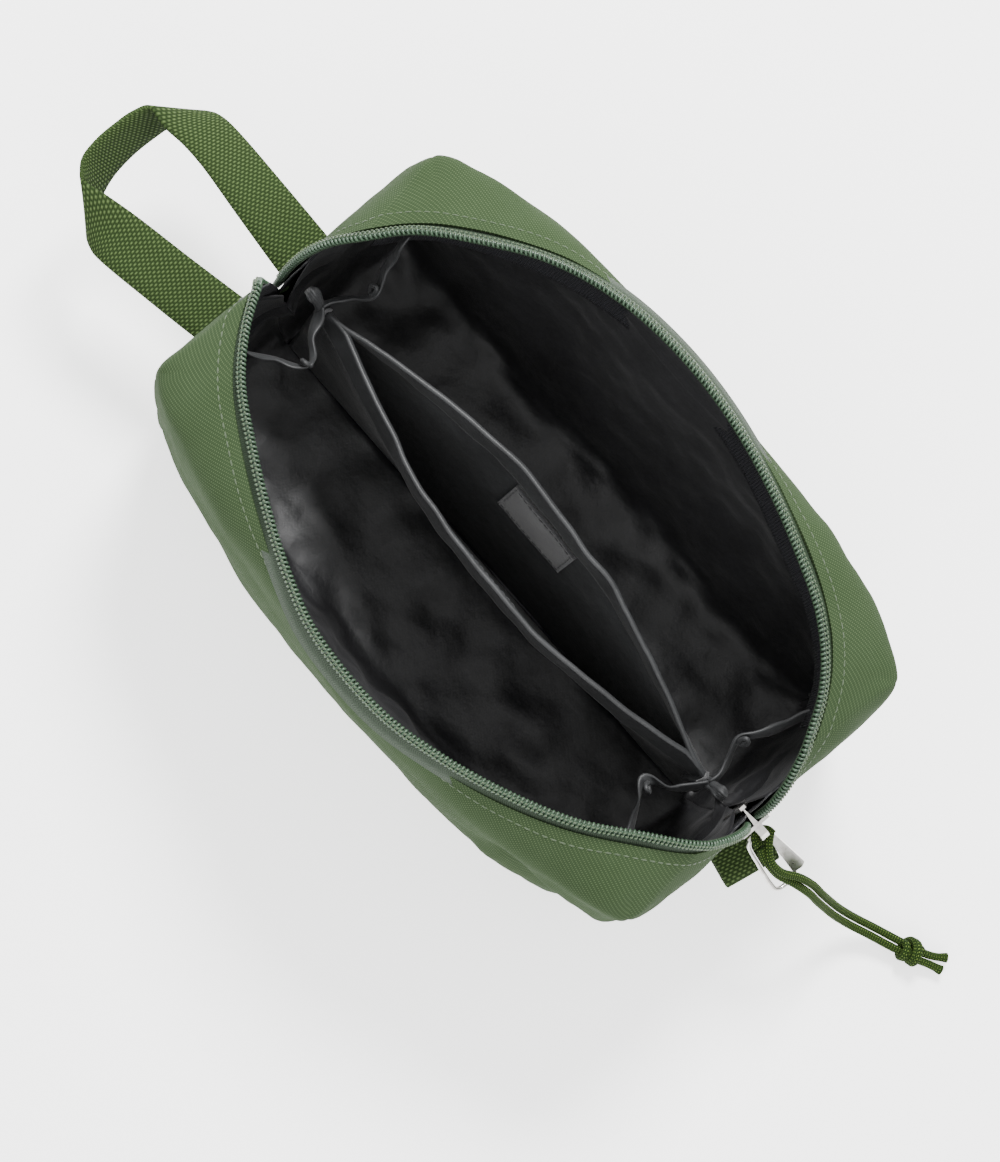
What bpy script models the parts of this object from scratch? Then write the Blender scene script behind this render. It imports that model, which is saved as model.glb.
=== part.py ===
"""Cable organizer pouch: a boxed-corner fabric pouch, standing open, with its zip, pull, handle and divider.

The frame is the pouch's own: +X runs along its length from the handle end to the end where the slider
stops, +Y across it, +Z up, and the origin is on the table under the middle of the base. Side 1 is the
+Y ("right") half of the pouch and side -1 the -Y ("left") half; end 1 is the slider end and end -1 the
handle end. Dimensions are in millimetres and are scaled to metres when a mesh is made.
"""

import math

import bmesh
import bpy
from mathutils import Matrix, Vector

MM = 0.001

# Body of the pouch, over its outer fabric
HALF_LENGTH = 114.0
HALF_WIDTH = 62.0
LONG_SEAM_Z = 22.0  # the bottom panel's seams along both sides
END_SEAM_Z = 46.0  # the seam across each end face, where the zip ends
SHOULDER_Z = 90.0  # where the side wall starts to turn in, at a corner
CORNER_RIM_Z = 98.0  # the zip's line where it leaves an end face
CORNER_RIM_Y = 22.0
MOUTH_SPREAD = 50.0  # how much further out the zip's line is at mid-length
MOUTH_RISE = 11.0  # and how much higher
OPENNESS_POWER = 2.4

# Layers, from the outside in: how deep each lies under the outer surface, and how thick it is
FABRIC = 0.9
TAPE_DEPTH, TAPE = 1.5, 0.6
FACING_DEPTH, FACING = 2.6, 0.5
LINING_DEPTH, LINING = 4.6, 0.5
JOIN_GAP = 0.5  # between two panels at a seam

# Zip, measured across the panel from the line of its coil
PANEL_EDGE = 4.5
TAPE_EDGES = (-1.0, 13.0)
FACING_EDGES = (3.5, 23.0)
LINING_EDGE = 12.0
COIL_RADIUS = 1.5
COIL_PROUD = 0.5
CLOSED_COIL_Y = 1.75
ZIP_PARTS_Z = {-1: 48.0, 1: 58.0}  # where the two halves part, at each end
V_POWER = {-1: 1.15, 1: 1.6}

# Where each half of the mouth turns about as the zip closes it
MOUTH_PIVOT = (0.0, 35.0, 45.0)

# Slider, on the outside of the slider end
SLIDER_Z = 60.0
SLIDER_LENGTH, SLIDER_WIDTH = 15.0, 12.0
PLATE = 1.1
INNER_PLATE_X = 109.9
FRONT_PLATE_X = 116.6
BAIL_REACH = 4.8
RING_LENGTH, RING_WIDE, RING_NARROW = 26.0, 13.0, 9.0
RING_THICK = 1.4
RING_SLOPE = 32.0  # below level
HINGE_X, HINGE_Z = 119.7, 57.6
CORD_RADIUS = 1.2
BIGHT_RADIUS = 3.45
BIGHT_Z = 60.9

# Webbing
WEBBING_WIDTH, WEBBING = 20.0, 1.5
ROOT_X = HALF_LENGTH + 0.8  # where webbing leaves an end seam
STRAP_Y = 18.5
HANDLE_REACH = 76.0
TAB_REACH = 11.5
TAB_Y = -4.0

# Divider pocket
LEAF = 0.6
LEAF_HALF_LENGTH = 99.8
LEAF_BOTTOM = 7.5
LEAF_ENDS_Z = 58.0
LEAF_RISE = 20.0
LEAF_BOW = {-1: 19.0, 1: 15.0}
LEAF_Y = 1.0  # how far from the middle each leaf stands along its foot
PATCH_HALF_LENGTH, PATCH_Z, PATCH = 15.0, (50.0, 68.0), 1.1

# How finely the fabric is divided
FLAT_STATIONS = 11
BASE_PROFILE = [(12.0, 0.0), (5.0, 3.0), (1.5, 9.5), (0.0, LONG_SEAM_Z)]  # (inset, height) round its edge
BASE_COLUMNS = [*BASE_PROFILE[::-1], (40.0, 0.0)]
WALL_LEVELS = [22.0, 34.0, 46.0, 61.0, 76.0, 90.0]
TOP_COLUMNS = 4
FLAP_LEVELS = [46.0, 57.0, 66.0, 74.0, 82.0, 90.0]

GREEN = (0.085, 0.165, 0.070, 1)
WEBBING_GREEN = (0.060, 0.135, 0.035, 1)
ZIP_GREEN = (0.060, 0.130, 0.080, 1)
BLACK = (0.010, 0.010, 0.011, 1)
GREY = (0.025, 0.026, 0.028, 1)
NICKEL = (0.62, 0.61, 0.59, 1)


# ---------------------------------------------------------------- scene and helpers


def clear_scene():
    for thing in list(bpy.data.objects):
        bpy.data.objects.remove(thing)


def new_collection(name):
    made = bpy.data.collections.new(name)
    bpy.context.scene.collection.children.link(made)
    return made


def material(name, colour, roughness, metallic=0.0):
    made = bpy.data.materials.new(name)
    made.use_nodes = True
    shader = made.node_tree.nodes["Principled BSDF"]
    shader.inputs["Base Color"].default_value = colour
    shader.inputs["Roughness"].default_value = roughness
    shader.inputs["Metallic"].default_value = metallic
    return made


def place(obj, collection, finish):
    for old in list(obj.users_collection):
        old.objects.unlink(obj)
    collection.objects.link(obj)
    obj.data.materials.clear()
    obj.data.materials.append(finish)
    return obj


def add_pivot(name, point, pieces, collection):
    """An empty on a joint's axis, the parent of the pieces that move about it."""
    pivot = bpy.data.objects.new(name, None)
    collection.objects.link(pivot)
    pivot.location = Vector(point) * MM
    for piece in pieces:
        piece.parent = pivot
        piece.matrix_parent_inverse = Matrix.Translation(-pivot.location)
    return pivot


def thicken(obj, thickness):
    shell = obj.modifiers.new("thickness", "SOLIDIFY")
    shell.thickness = thickness * MM
    shell.offset = -1
    shell.use_even_offset = True
    return obj


def sheet_object(name, grids, collection, finish, thickness):
    """One open surface from grids of points that meet along shared edges, thickened inwards."""
    mesh = bmesh.new()
    for grid in grids:
        rows = [[mesh.verts.new(Vector(p) * MM) for p in row] for row in grid]
        for low, high in zip(rows, rows[1:]):
            for a, b, c, d in zip(low, low[1:], high[1:], high):
                mesh.faces.new((a, b, c, d))
    bmesh.ops.remove_doubles(mesh, verts=mesh.verts, dist=0.01 * MM)
    mesh.normal_update()
    data = bpy.data.meshes.new(name)
    mesh.to_mesh(data)
    mesh.free()
    obj = bpy.data.objects.new(name, data)
    obj.data.shade_smooth()
    obj.data.set_sharp_from_angle(angle=math.radians(50))
    return place(thicken(obj, thickness), collection, finish)


def tube_object(name, points, radius, collection, finish):
    curve = bpy.data.curves.new(name, "CURVE")
    curve.dimensions = "3D"
    curve.bevel_depth = radius * MM
    curve.bevel_resolution = 2
    curve.use_fill_caps = True
    line = curve.splines.new("POLY")
    line.points.add(len(points) - 1)
    for knot, point in zip(line.points, points):
        knot.co = (*(Vector(point) * MM), 1)
    return place(bpy.data.objects.new(name, curve), collection, finish)


def outline_curve(name, loops, thickness, collection, finish):
    """A flat piece from closed outlines in its own XY plane; the later loops are holes."""
    curve = bpy.data.curves.new(name, "CURVE")
    curve.dimensions = "2D"
    curve.fill_mode = "BOTH"
    curve.extrude = thickness / 2 * MM
    for loop in loops:
        line = curve.splines.new("POLY")
        line.points.add(len(loop) - 1)
        line.use_cyclic_u = True
        for knot, (x, y) in zip(line.points, loop):
            knot.co = (x * MM, y * MM, 0, 1)
    return place(bpy.data.objects.new(name, curve), collection, finish)


def box_object(name, low, high, collection, finish):
    mesh = bmesh.new()
    bmesh.ops.create_cube(mesh, size=1.0)
    size = [b - a for a, b in zip(low, high)]
    centre = [(a + b) / 2 for a, b in zip(low, high)]
    for vert in mesh.verts:
        vert.co = Vector(c + v * s for c, v, s in zip(centre, vert.co, size)) * MM
    data = bpy.data.meshes.new(name)
    mesh.to_mesh(data)
    mesh.free()
    return place(bpy.data.objects.new(name, data), collection, finish)


def union(obj, pieces, cutters, finish):
    """Joins solids that overlap into obj; each piece becomes a hidden guide."""
    for piece in pieces:
        place(piece, cutters, finish)
        piece.hide_render = True
        piece.display_type = "WIRE"
        join = obj.modifiers.new("join", "BOOLEAN")
        join.operation = "UNION"
        join.solver = "EXACT"
        join.object = piece
    return obj


def smooth_route(points, spacing):
    """Points a set distance apart along a smooth curve through the route's own points."""
    fine = []
    ends = [2 * points[0] - points[1], *points, 2 * points[-1] - points[-2]]
    for p0, p1, p2, p3 in zip(ends, ends[1:], ends[2:], ends[3:]):
        for k in range(20):
            t = k / 20
            fine.append(
                0.5 * (2 * p1 + (p2 - p0) * t + (2 * p0 - 5 * p1 + 4 * p2 - p3) * t**2
                       + (3 * p1 - p0 - 3 * p2 + p3) * t**3)
            )
    fine.append(points[-1])
    length = sum((b - a).length for a, b in zip(fine, fine[1:]))
    steps = max(2, round(length / spacing))
    found, gone, target = [fine[0]], 0.0, length / steps
    for a, b in zip(fine, fine[1:]):
        gone += (b - a).length
        if gone >= target * len(found) - 1e-6 and len(found) < steps:
            found.append(b)
    return [*found, fine[-1]]


# ---------------------------------------------------------------- the outer surface


def openness(x):
    """1 at mid-length, where the mouth is pushed furthest apart, and 0 at the end faces."""
    return 1 - min(1.0, abs(x) / HALF_LENGTH) ** OPENNESS_POWER


def coil_y_on_end(end, z):
    """How far the zip's line is from the middle of an end face, at a height."""
    share = max(0.0, (z - ZIP_PARTS_Z[end]) / (CORNER_RIM_Z - ZIP_PARTS_Z[end]))
    return CLOSED_COIL_Y + (CORNER_RIM_Y - CLOSED_COIL_Y) * share ** V_POWER[end]


def section(x):
    """The cross-section at x as (y, z) points, from the zip's line over the shoulder to the long seam."""
    m = openness(x)
    rim = Vector((CORNER_RIM_Y + MOUTH_SPREAD * m, CORNER_RIM_Z + MOUTH_RISE * m))
    bend = Vector((HALF_WIDTH + 11 * m, CORNER_RIM_Z + 1 + 2 * m))
    shoulder = Vector((HALF_WIDTH + 9.5 * m, SHOULDER_Z + 2 * m))
    seam = Vector((seam_half_width(x), LONG_SEAM_Z))
    steps = 24
    points = []
    for k in range(steps + 1):
        t = k / steps
        points.append(rim * (1 - t) ** 2 + bend * 2 * t * (1 - t) + shoulder * t**2)
    for k in range(1, steps + 1):
        t = k / steps
        bulge = 2.5 * m * math.sin(math.pi * t)
        points.append(shoulder.lerp(seam, t) + Vector((bulge, 0)))
    return points, steps


def outward(points, k):
    before, after = points[max(0, k - 1)], points[min(len(points) - 1, k + 1)]
    way = (after - before).normalized()
    return Vector((-way.y, way.x))


def point_along(points, distance):
    """The point this far along a section from the zip's line, and the outward normal there."""
    if distance <= 0:
        way = (points[1] - points[0]).normalized()
        return points[0] + way * distance, Vector((-way.y, way.x))
    gone = 0.0
    for k, (a, b) in enumerate(zip(points, points[1:])):
        step = (b - a).length
        if gone + step >= distance:
            share = (distance - gone) / step
            normal = outward(points, k).lerp(outward(points, k + 1), share)
            return a.lerp(b, share), normal.normalized()
        gone += step
    return points[-1], outward(points, len(points) - 1)


def arc_length(points):
    return sum((b - a).length for a, b in zip(points, points[1:]))


def upper_point(side, x, distance, depth):
    """A point under the outer surface of the wall or top, measured across the panel from the zip."""
    points, _ = section(x)
    at, normal = point_along(points, distance)
    y, z = at - normal * depth
    return (x * (HALF_LENGTH - depth) / HALF_LENGTH, side * y, z)


def end_point(side, end, z, distance, depth):
    """The same on an end face."""
    return (end * (HALF_LENGTH - depth), side * (coil_y_on_end(end, z) + distance), z)


def zip_stations(side):
    """Functions of (distance, depth) for each station along the zip, from the handle end round."""
    levels = [z for z in FLAP_LEVELS if z > END_SEAM_Z] + [END_SEAM_Z + 2.0]
    found = []
    for z in sorted(levels):
        found.append(lambda a, b, z=z: end_point(side, -1, z, a, b))
    for x in wall_x():
        found.append(lambda a, b, x=x: upper_point(side, x, a, b))
    for z in sorted(levels, reverse=True):
        found.append(lambda a, b, z=z: end_point(side, 1, z, a, b))
    return found


def base_rows():
    """(x, height) of each row across the base: up one end face, along the table and up the other."""
    rise = [(HALF_LENGTH - inset, z) for inset, z in BASE_PROFILE]
    rise += [(HALF_LENGTH, z) for z in WALL_LEVELS[1:3]]
    flat = HALF_LENGTH - BASE_PROFILE[0][0]
    middle = [(flat * k / FLAT_STATIONS, 0.0) for k in range(1 - FLAT_STATIONS, FLAT_STATIONS)]
    return [(-x, z) for x, z in reversed(rise)] + middle + rise


def wall_x():
    return sorted({x for x, _ in base_rows()})


def seam_half_width(x):
    return HALF_WIDTH + 0.5 * openness(x)


def wall_column(side, x, edge, depth, gap):
    """One column of a side panel: from its edge by the zip, over the shoulder and down to its seam."""
    points, steps = section(x)
    shoulder = arc_length(points[: steps + 1])
    column = []
    for k in range(TOP_COLUMNS + 1):
        distance = edge + (shoulder - edge) * k / TOP_COLUMNS
        column.append(upper_point(side, x, distance, depth))
    top = column[-1][2]
    wall = points[steps:]
    for level in reversed(WALL_LEVELS[:-1]):
        z = level + gap if level in (LONG_SEAM_Z, END_SEAM_Z) else level
        if level > END_SEAM_Z:
            z = END_SEAM_Z + (top - END_SEAM_Z) * up_the_flap(level)
        at, _ = point_along(wall, (SHOULDER_Z - z) / (SHOULDER_Z - LONG_SEAM_Z) * arc_length(wall))
        column.append((column[0][0], side * (at.x - depth), z))
    return column


def up_the_flap(level):
    return (level - END_SEAM_Z) / (SHOULDER_Z - END_SEAM_Z)


def flap_grid(side, end, edge, depth, gap):
    """The part of a side panel that folds down over an end face, beside the zip."""
    column = wall_column(side, end * HALF_LENGTH, edge, depth, gap)
    top_row, corner = column[: TOP_COLUMNS + 1], column[TOP_COLUMNS:]
    rows = []
    for down, level in enumerate(reversed(WALL_LEVELS[2:])):
        x, outer_y, outer_z = corner[down]
        inner_z = max(END_SEAM_Z + gap, END_SEAM_Z + (top_row[0][2] - END_SEAM_Z) * up_the_flap(level))
        inner_y = coil_y_on_end(end, inner_z) + edge
        row = []
        for k in range(TOP_COLUMNS + 1):
            across = k / TOP_COLUMNS
            y = side * inner_y + (outer_y - side * inner_y) * across
            row.append((x, y, inner_z + (outer_z - inner_z) * across))
        rows.append(row)
    rows[0] = list(top_row)
    return rows[::-1]


def side_grids(side, edge, depth, gap):
    """The three connected grids of a side panel, with their faces turned outwards."""
    wall = [wall_column(side, x, edge, depth, gap) for x in wall_x()]
    flaps = [flap_grid(side, end, edge, depth, gap) for end in (-1, 1)]
    if side > 0:
        return [wall[::-1], flaps[0][::-1], flaps[1]]
    return [wall, flaps[0], flaps[1][::-1]]


def flap_columns(depth, inner, corner_gap):
    """How far from the middle the columns of an end face stand, from the corner inwards."""
    outer = HALF_WIDTH - depth - corner_gap
    return [outer + (inner - outer) * k / TOP_COLUMNS for k in range(TOP_COLUMNS + 1)]


def bottom_grid(depth, edge, corner_gap):
    """The base, turned up along both sides to the long seams and over both ends to the end seams."""
    on_ends = flap_columns(depth, CLOSED_COIL_Y + edge, corner_gap)
    grid = []
    for x, end_z in base_rows():
        row = []
        for y_on_end, (inset, side_z) in zip(on_ends, BASE_COLUMNS):
            low_y = seam_half_width(x) - depth - inset
            z = LONG_SEAM_Z - (LONG_SEAM_Z - end_z) * (LONG_SEAM_Z - side_z) / LONG_SEAM_Z
            if end_z >= LONG_SEAM_Z:
                up = (end_z - LONG_SEAM_Z) / (END_SEAM_Z - LONG_SEAM_Z)
                low_y *= on_ends[0] / (HALF_WIDTH - depth)
                low_y, z = low_y + (y_on_end - low_y) * up, end_z
            lift = depth * (1 - min(1.0, z / LONG_SEAM_Z))
            row.append((x * (HALF_LENGTH - depth) / HALF_LENGTH, low_y, z + lift))
        middle = (row[-1][0], 0.0, row[-1][2])
        grid.append([(px, -py, pz) for px, py, pz in row] + [middle] + row[::-1])
    return grid


# ---------------------------------------------------------------- the pieces of the bag


def make_side_panel(side, name, collection, finish):
    return sheet_object(name, side_grids(side, PANEL_EDGE, 0.0, JOIN_GAP), collection, finish, FABRIC)


def make_bottom_panel(collection, finish):
    grid = bottom_grid(0.0, PANEL_EDGE, FABRIC + JOIN_GAP)
    return sheet_object("bottom_panel", [grid], collection, finish, FABRIC)


def make_lining(collection, finish):
    grids = side_grids(1, LINING_EDGE, LINING_DEPTH, 0.0) + side_grids(-1, LINING_EDGE, LINING_DEPTH, 0.0)
    base = bottom_grid(LINING_DEPTH, LINING_EDGE, 0.0)
    return sheet_object("lining", [*grids, base], collection, finish, LINING)


def zip_strip(side, edges, depth, columns=4):
    low, high = edges
    widths = [low + (high - low) * k / columns for k in range(columns + 1)]
    grid = [[station(a, depth) for a in widths] for station in zip_stations(side)]
    return grid[::-1] if side > 0 else grid


def make_zip_strip(name, side, edges, depth, thickness, collection, finish):
    return sheet_object(name, [zip_strip(side, edges, depth)], collection, finish, thickness)


def coil_line(side):
    line = [Vector(station(0.0, -COIL_PROUD)) for station in zip_stations(side)]
    line[-1].z = 51.5
    return line


def make_coil(name, side, collection, finish):
    return tube_object(name, coil_line(side), COIL_RADIUS, collection, finish)


def make_end_stop(collection, finish):
    outer = HALF_LENGTH + COIL_PROUD + COIL_RADIUS
    return box_object("zip_end_stop", (outer - 3.0, -3.4, 48.4), (outer, 3.4, 50.6), collection, finish)


def make_end_binding(name, end, collection, finish):
    face = HALF_LENGTH - LINING_DEPTH - LINING - 0.5
    xs = sorted((end * face, end * (face - 8.0)))
    return box_object(name, (xs[0], -48.0, 45.2), (xs[1], 48.0, 46.8), collection, finish)


def make_corner_binding(name, side, end, collection, finish):
    """A vertical seam allowance that stands into the pouch along a corner."""
    obj = box_object(name, (-8.0, -0.6, 26.0), (0.0, 0.6, 86.0), collection, finish)
    inside = LINING_DEPTH + LINING + 1.2
    obj.location = Vector((end * (HALF_LENGTH - inside), side * (HALF_WIDTH - inside), 0)) * MM
    obj.rotation_euler.z = math.atan2(side, end)
    return obj


# ---------------------------------------------------------------- the divider pocket


def leaf_point(side, x, z, depth=0.0):
    along = 1 - (x / LEAF_HALF_LENGTH) ** 2
    top = LEAF_ENDS_Z + LEAF_RISE * along
    up = (z - LEAF_BOTTOM) / (top - LEAF_BOTTOM)
    y = LEAF_Y + LEAF_BOW[side] * along**1.3 * up**1.3 - depth
    return (x, side * y, z)


def make_leaf(name, side, collection, finish):
    grid = []
    for k in range(17):
        x = LEAF_HALF_LENGTH * (k / 8 - 1)
        top = LEAF_ENDS_Z + LEAF_RISE * (1 - (x / LEAF_HALF_LENGTH) ** 2)
        levels = [LEAF_BOTTOM + (top - LEAF_BOTTOM) * j / 5 for j in range(6)]
        grid.append([leaf_point(side, x, z) for z in levels])
    if side < 0:
        grid = grid[::-1]
    return sheet_object(name, [grid], collection, finish, LEAF)


def make_patch(name, side, collection, finish):
    """Half of the touch fastening, on the inner face of a leaf."""
    grid = []
    for k in range(5):
        x = PATCH_HALF_LENGTH * (k / 2 - 1)
        levels = [PATCH_Z[0] + (PATCH_Z[1] - PATCH_Z[0]) * j / 3 for j in range(4)]
        grid.append([leaf_point(side, x, z, LEAF + 0.45) for z in levels])
    if side < 0:
        grid = grid[::-1]
    return sheet_object(name, [grid], collection, finish, PATCH)


# ---------------------------------------------------------------- webbing


def handle_centre(t):
    """The handle's centre line, from its root on side 1 (t = 0) to its root on side -1 (t = 1)."""
    root_x = -ROOT_X
    turn = min(1.0, max(0.0, (t - 0.36) / 0.28))
    angle = math.pi * turn
    bow = STRAP_Y + 3.0
    straight = min(1.0, t / 0.36, (1 - t) / 0.36)
    x = root_x - (HANDLE_REACH - bow * 0.8) * straight - bow * 0.8 * math.sin(angle)
    y = (STRAP_Y + 3.0 * straight) * math.cos(angle)
    z = END_SEAM_Z - 4.0 * math.sin(straight * math.pi / 2)
    return Vector((x, y, z))


def handle_width(t):
    """The way across the webbing: flat at the roots, and on edge, leaning out, round the far end."""
    turn = min(1.0, max(0.0, (t - 0.26) / 0.48))
    stand = math.sin(math.pi * turn) ** 0.8
    flat = Vector((0, 1, 0)) if t < 0.5 else Vector((0, -1, 0))
    edge = Vector((-0.45, 0, 0.9))
    return flat.lerp(edge, stand).normalized()


def make_handle(collection, finish):
    steps = 40
    grid = []
    for k in range(steps + 1):
        t = k / steps
        centre, across = handle_centre(t), handle_width(t)
        half = WEBBING_WIDTH / 2
        grid.append([tuple(centre + across * half * w) for w in (1, 0, -1)])
    obj = sheet_object("handle_webbing", [grid], collection, finish, WEBBING)
    obj.modifiers["thickness"].offset = 0
    return obj


def make_end_tab(collection, finish):
    """A short loop of webbing, its two layers sewn into the end seam under the slider."""
    root, tip, middle = ROOT_X, HALF_LENGTH + TAB_REACH, END_SEAM_Z
    inner, outer = 0.4, 0.4 + WEBBING

    def arc(radius, way):
        angles = [way * (math.pi / 2 - math.pi * k / 6) for k in range(7)]
        return [(tip - outer + radius * math.cos(a), middle + radius * math.sin(a)) for a in angles]

    loop = [(root, middle + outer), *arc(outer, 1), (root, middle - outer)]
    loop += [(root, middle - inner), *arc(inner, -1), (root, middle + inner)]
    obj = outline_curve("end_tab", [loop], WEBBING_WIDTH, collection, finish)
    obj.rotation_euler = (math.pi / 2, 0, 0)
    obj.location = (0, TAB_Y * MM, 0)
    return obj


# ---------------------------------------------------------------- slider, pull ring and cord


def plate_outline():
    """A slider plate seen from outside: wide at the mouth end, which points up, and round below."""
    wide, narrow, half = SLIDER_WIDTH / 2, SLIDER_WIDTH / 2 - 1.4, SLIDER_LENGTH / 2
    right = [(wide - 1.2, half), (wide, half - 1.4), (wide, half - 5.0), (narrow, -half + 3.0)]
    right += [(narrow - 1.4, -half + 0.6), (narrow - 2.6, -half)]
    return right + [(-y, z) for y, z in reversed(right)]


def standing_plate(name, outline, x, thickness, cutters, finish):
    """A flat piece standing across X, its outer face towards the slider end."""
    obj = outline_curve(name, [outline], thickness, cutters, finish)
    obj.rotation_euler = (math.pi / 2, 0, math.pi / 2)
    obj.location = (x * MM, 0, SLIDER_Z * MM)
    return solid_from_curve(obj)


def solid_from_curve(obj):
    """The same solid as a mesh with its caps welded, so that it can be joined or cut."""
    bpy.context.view_layer.update()
    evaluated = obj.evaluated_get(bpy.context.evaluated_depsgraph_get())
    data = bpy.data.meshes.new_from_object(evaluated)
    mesh = bmesh.new()
    mesh.from_mesh(data)
    bmesh.ops.remove_doubles(mesh, verts=mesh.verts, dist=0.001 * MM)
    bmesh.ops.recalc_face_normals(mesh, faces=mesh.faces)
    mesh.to_mesh(data)
    mesh.free()
    solid = bpy.data.objects.new(obj.name + "_solid", data)
    solid.matrix_world = obj.matrix_world
    name = obj.name
    bpy.data.objects.remove(obj)
    solid.name = name
    bpy.context.scene.collection.objects.link(solid)
    return solid


def bail_outline():
    """The bail on the front plate, seen from the side: a low arch that the ring hangs in."""
    low, high, reach, strip = -5.6, 6.0, BAIL_REACH, 1.2
    outer = [(0.0, low), (reach - 1.4, low), (reach, low + 1.4), (reach, high - 1.4), (reach - 1.4, high)]
    outer += [(0.0, high)]
    inner = [(0.0, high - strip), (reach - strip - 0.6, high - strip), (reach - strip, high - strip - 0.8)]
    inner += [(reach - strip, low + strip + 0.8), (reach - strip - 0.6, low + strip), (0.0, low + strip)]
    return outer + inner


def make_slider(collection, cutters, finish):
    front = FRONT_PLATE_X + PLATE / 2
    body = standing_plate("slider_body", plate_outline(), front, PLATE, cutters, finish)
    back = standing_plate("slider_back_plate", plate_outline(), INNER_PLATE_X, PLATE, cutters, finish)
    top = SLIDER_Z + SLIDER_LENGTH / 2
    diamond = box_object("slider_post", (INNER_PLATE_X - 0.2, -0.9, top - 4.2),
                         (front + 0.2, 0.9, top - 0.6), cutters, finish)
    bail = outline_curve("slider_bail", [bail_outline()], 3.0, cutters, finish)
    bail.rotation_euler = (math.pi / 2, 0, 0)
    bail.location = ((FRONT_PLATE_X + PLATE - 0.2) * MM, 0, SLIDER_Z * MM)
    bail = solid_from_curve(bail)
    flanges = []
    for side in (-1, 1):
        ys = sorted((side * (SLIDER_WIDTH / 2 - 0.8), side * SLIDER_WIDTH / 2))
        low, high = top - 6.4, top - 1.6
        flanges.append(box_object(f"slider_flange_{side}", (114.2, ys[0], low), (front, ys[1], high),
                                  cutters, finish))
    union(body, [back, diamond, bail, *flanges], cutters, finish)
    return place(body, collection, finish)


def ring_loops():
    """The pull ring in its own plane: its hinge bar at the origin, its wide end at +X."""
    long, wide, narrow, bar = RING_LENGTH, RING_WIDE / 2, RING_NARROW / 2, 1.6
    outer = [(-0.8, narrow - 1.0), (0.4, narrow), (long - 3.0, wide), (long - 1.0, wide - 0.8)]
    outer += [(long, wide - 2.6)]
    inner = [(0.8, narrow - 1.6), (long - 3.4, wide - bar - 2.4), (long - bar, wide - bar - 4.0)]
    outer_loop = outer + [(x, -y) for x, y in reversed(outer)]
    inner_loop = inner + [(x, -y - (2.4 if x > 1 else 0)) for x, y in reversed(inner)]
    return outer_loop, inner_loop


def make_ring(collection, finish):
    obj = outline_curve("pull_ring", ring_loops(), RING_THICK, collection, finish)
    obj.rotation_euler = (0, math.radians(RING_SLOPE), 0)
    obj.location = Vector((HINGE_X, 0, HINGE_Z)) * MM
    return obj


def cord_routes():
    """The two strands of the pull cord, from the bail over the ring's end and down to the table."""
    centre = [
        (123.4, 0.0, BIGHT_Z), (128.5, 0.3, 59.4), (134.5, 1.0, 55.6), (140.5, 2.2, 50.4),
        (146.5, 4.0, 43.2), (151.5, 6.2, 34.6), (156.0, 8.6, 25.2), (161.0, 11.4, 16.0),
        (167.5, 14.6, 8.4), (175.5, 18.2, 4.2), (184.0, 22.0, 3.2),
    ]
    half = [BIGHT_RADIUS, 2.4, 1.5, 1.35, 1.35, 1.35, 1.35, 1.35, 1.35, 1.35, 1.35]
    routes = []
    for way in (1, -1):
        points = []
        for (x, y, z), apart in zip(centre, half):
            lean = 0.4 if x > 130 else 0.0
            points.append(Vector((x - way * apart * lean, y + way * apart, z)))
        routes.append(points)
    return routes


def make_strands(collection, finish):
    strands = []
    for name, route in zip(("pull_cord_upper", "pull_cord_lower"), cord_routes()):
        points = smooth_route(route, 2.6 * CORD_RADIUS)
        strands.append(tube_object(name, points, CORD_RADIUS, collection, finish))
    return strands


def make_bight(collection, finish):
    """The half turn that the cord makes round the bail."""
    turn = []
    for k in range(9):
        angle = math.pi / 2 + math.pi * k / 8
        x = 122.6 + BIGHT_RADIUS * math.cos(angle)
        turn.append(Vector((x, BIGHT_RADIUS * math.sin(angle), BIGHT_Z)))
    turn = [turn[0] + Vector((0.4, 0, 0)), *turn, turn[-1] + Vector((0.4, 0, 0))]
    return tube_object("pull_cord_bight", turn, CORD_RADIUS, collection, finish)


def make_knot(collection, finish):
    mesh = bmesh.new()
    bmesh.ops.create_uvsphere(mesh, u_segments=12, v_segments=8, radius=3.6 * MM)
    for vert in mesh.verts:
        vert.co.y *= 1.15
    data = bpy.data.meshes.new("cord_knot")
    mesh.to_mesh(data)
    mesh.free()
    data.shade_smooth()
    obj = place(bpy.data.objects.new("cord_knot", data), collection, finish)
    obj.location = Vector((189.0, 24.2, 3.8)) * MM
    obj.rotation_euler.z = math.radians(24)
    return obj


def make_cord_end(name, way, collection, finish):
    start = Vector((193.2, 26.4 + 1.5 * way, 3.2))
    bend = start + Vector((3.4, 1.4 + 0.5 * way, -0.6))
    points = [start, bend, start + Vector((7.0, 2.8 + 1.2 * way, -1.2))]
    return tube_object(name, points, CORD_RADIUS, collection, finish)


def make_bag(parts, fabric, lining, webbing):
    make_bottom_panel(parts, fabric)
    make_lining(parts, lining)
    for end, word in ((-1, "handle"), (1, "slider")):
        make_end_binding(f"end_binding_{word}_end", end, parts, lining)
        for side, hand in ((-1, "left"), (1, "right")):
            make_corner_binding(f"corner_binding_{word}_{hand}", side, end, parts, lining)
    for side, word in ((-1, "left"), (1, "right")):
        make_side_panel(side, f"side_panel_{word}", parts, fabric)
    root = (ROOT_X, TAB_Y, END_SEAM_Z)
    add_pivot("end_tab_pivot", root, [make_end_tab(parts, webbing)], parts)
    add_pivot("handle_pivot", (-ROOT_X, 0, END_SEAM_Z), [make_handle(parts, webbing)], parts)


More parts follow.
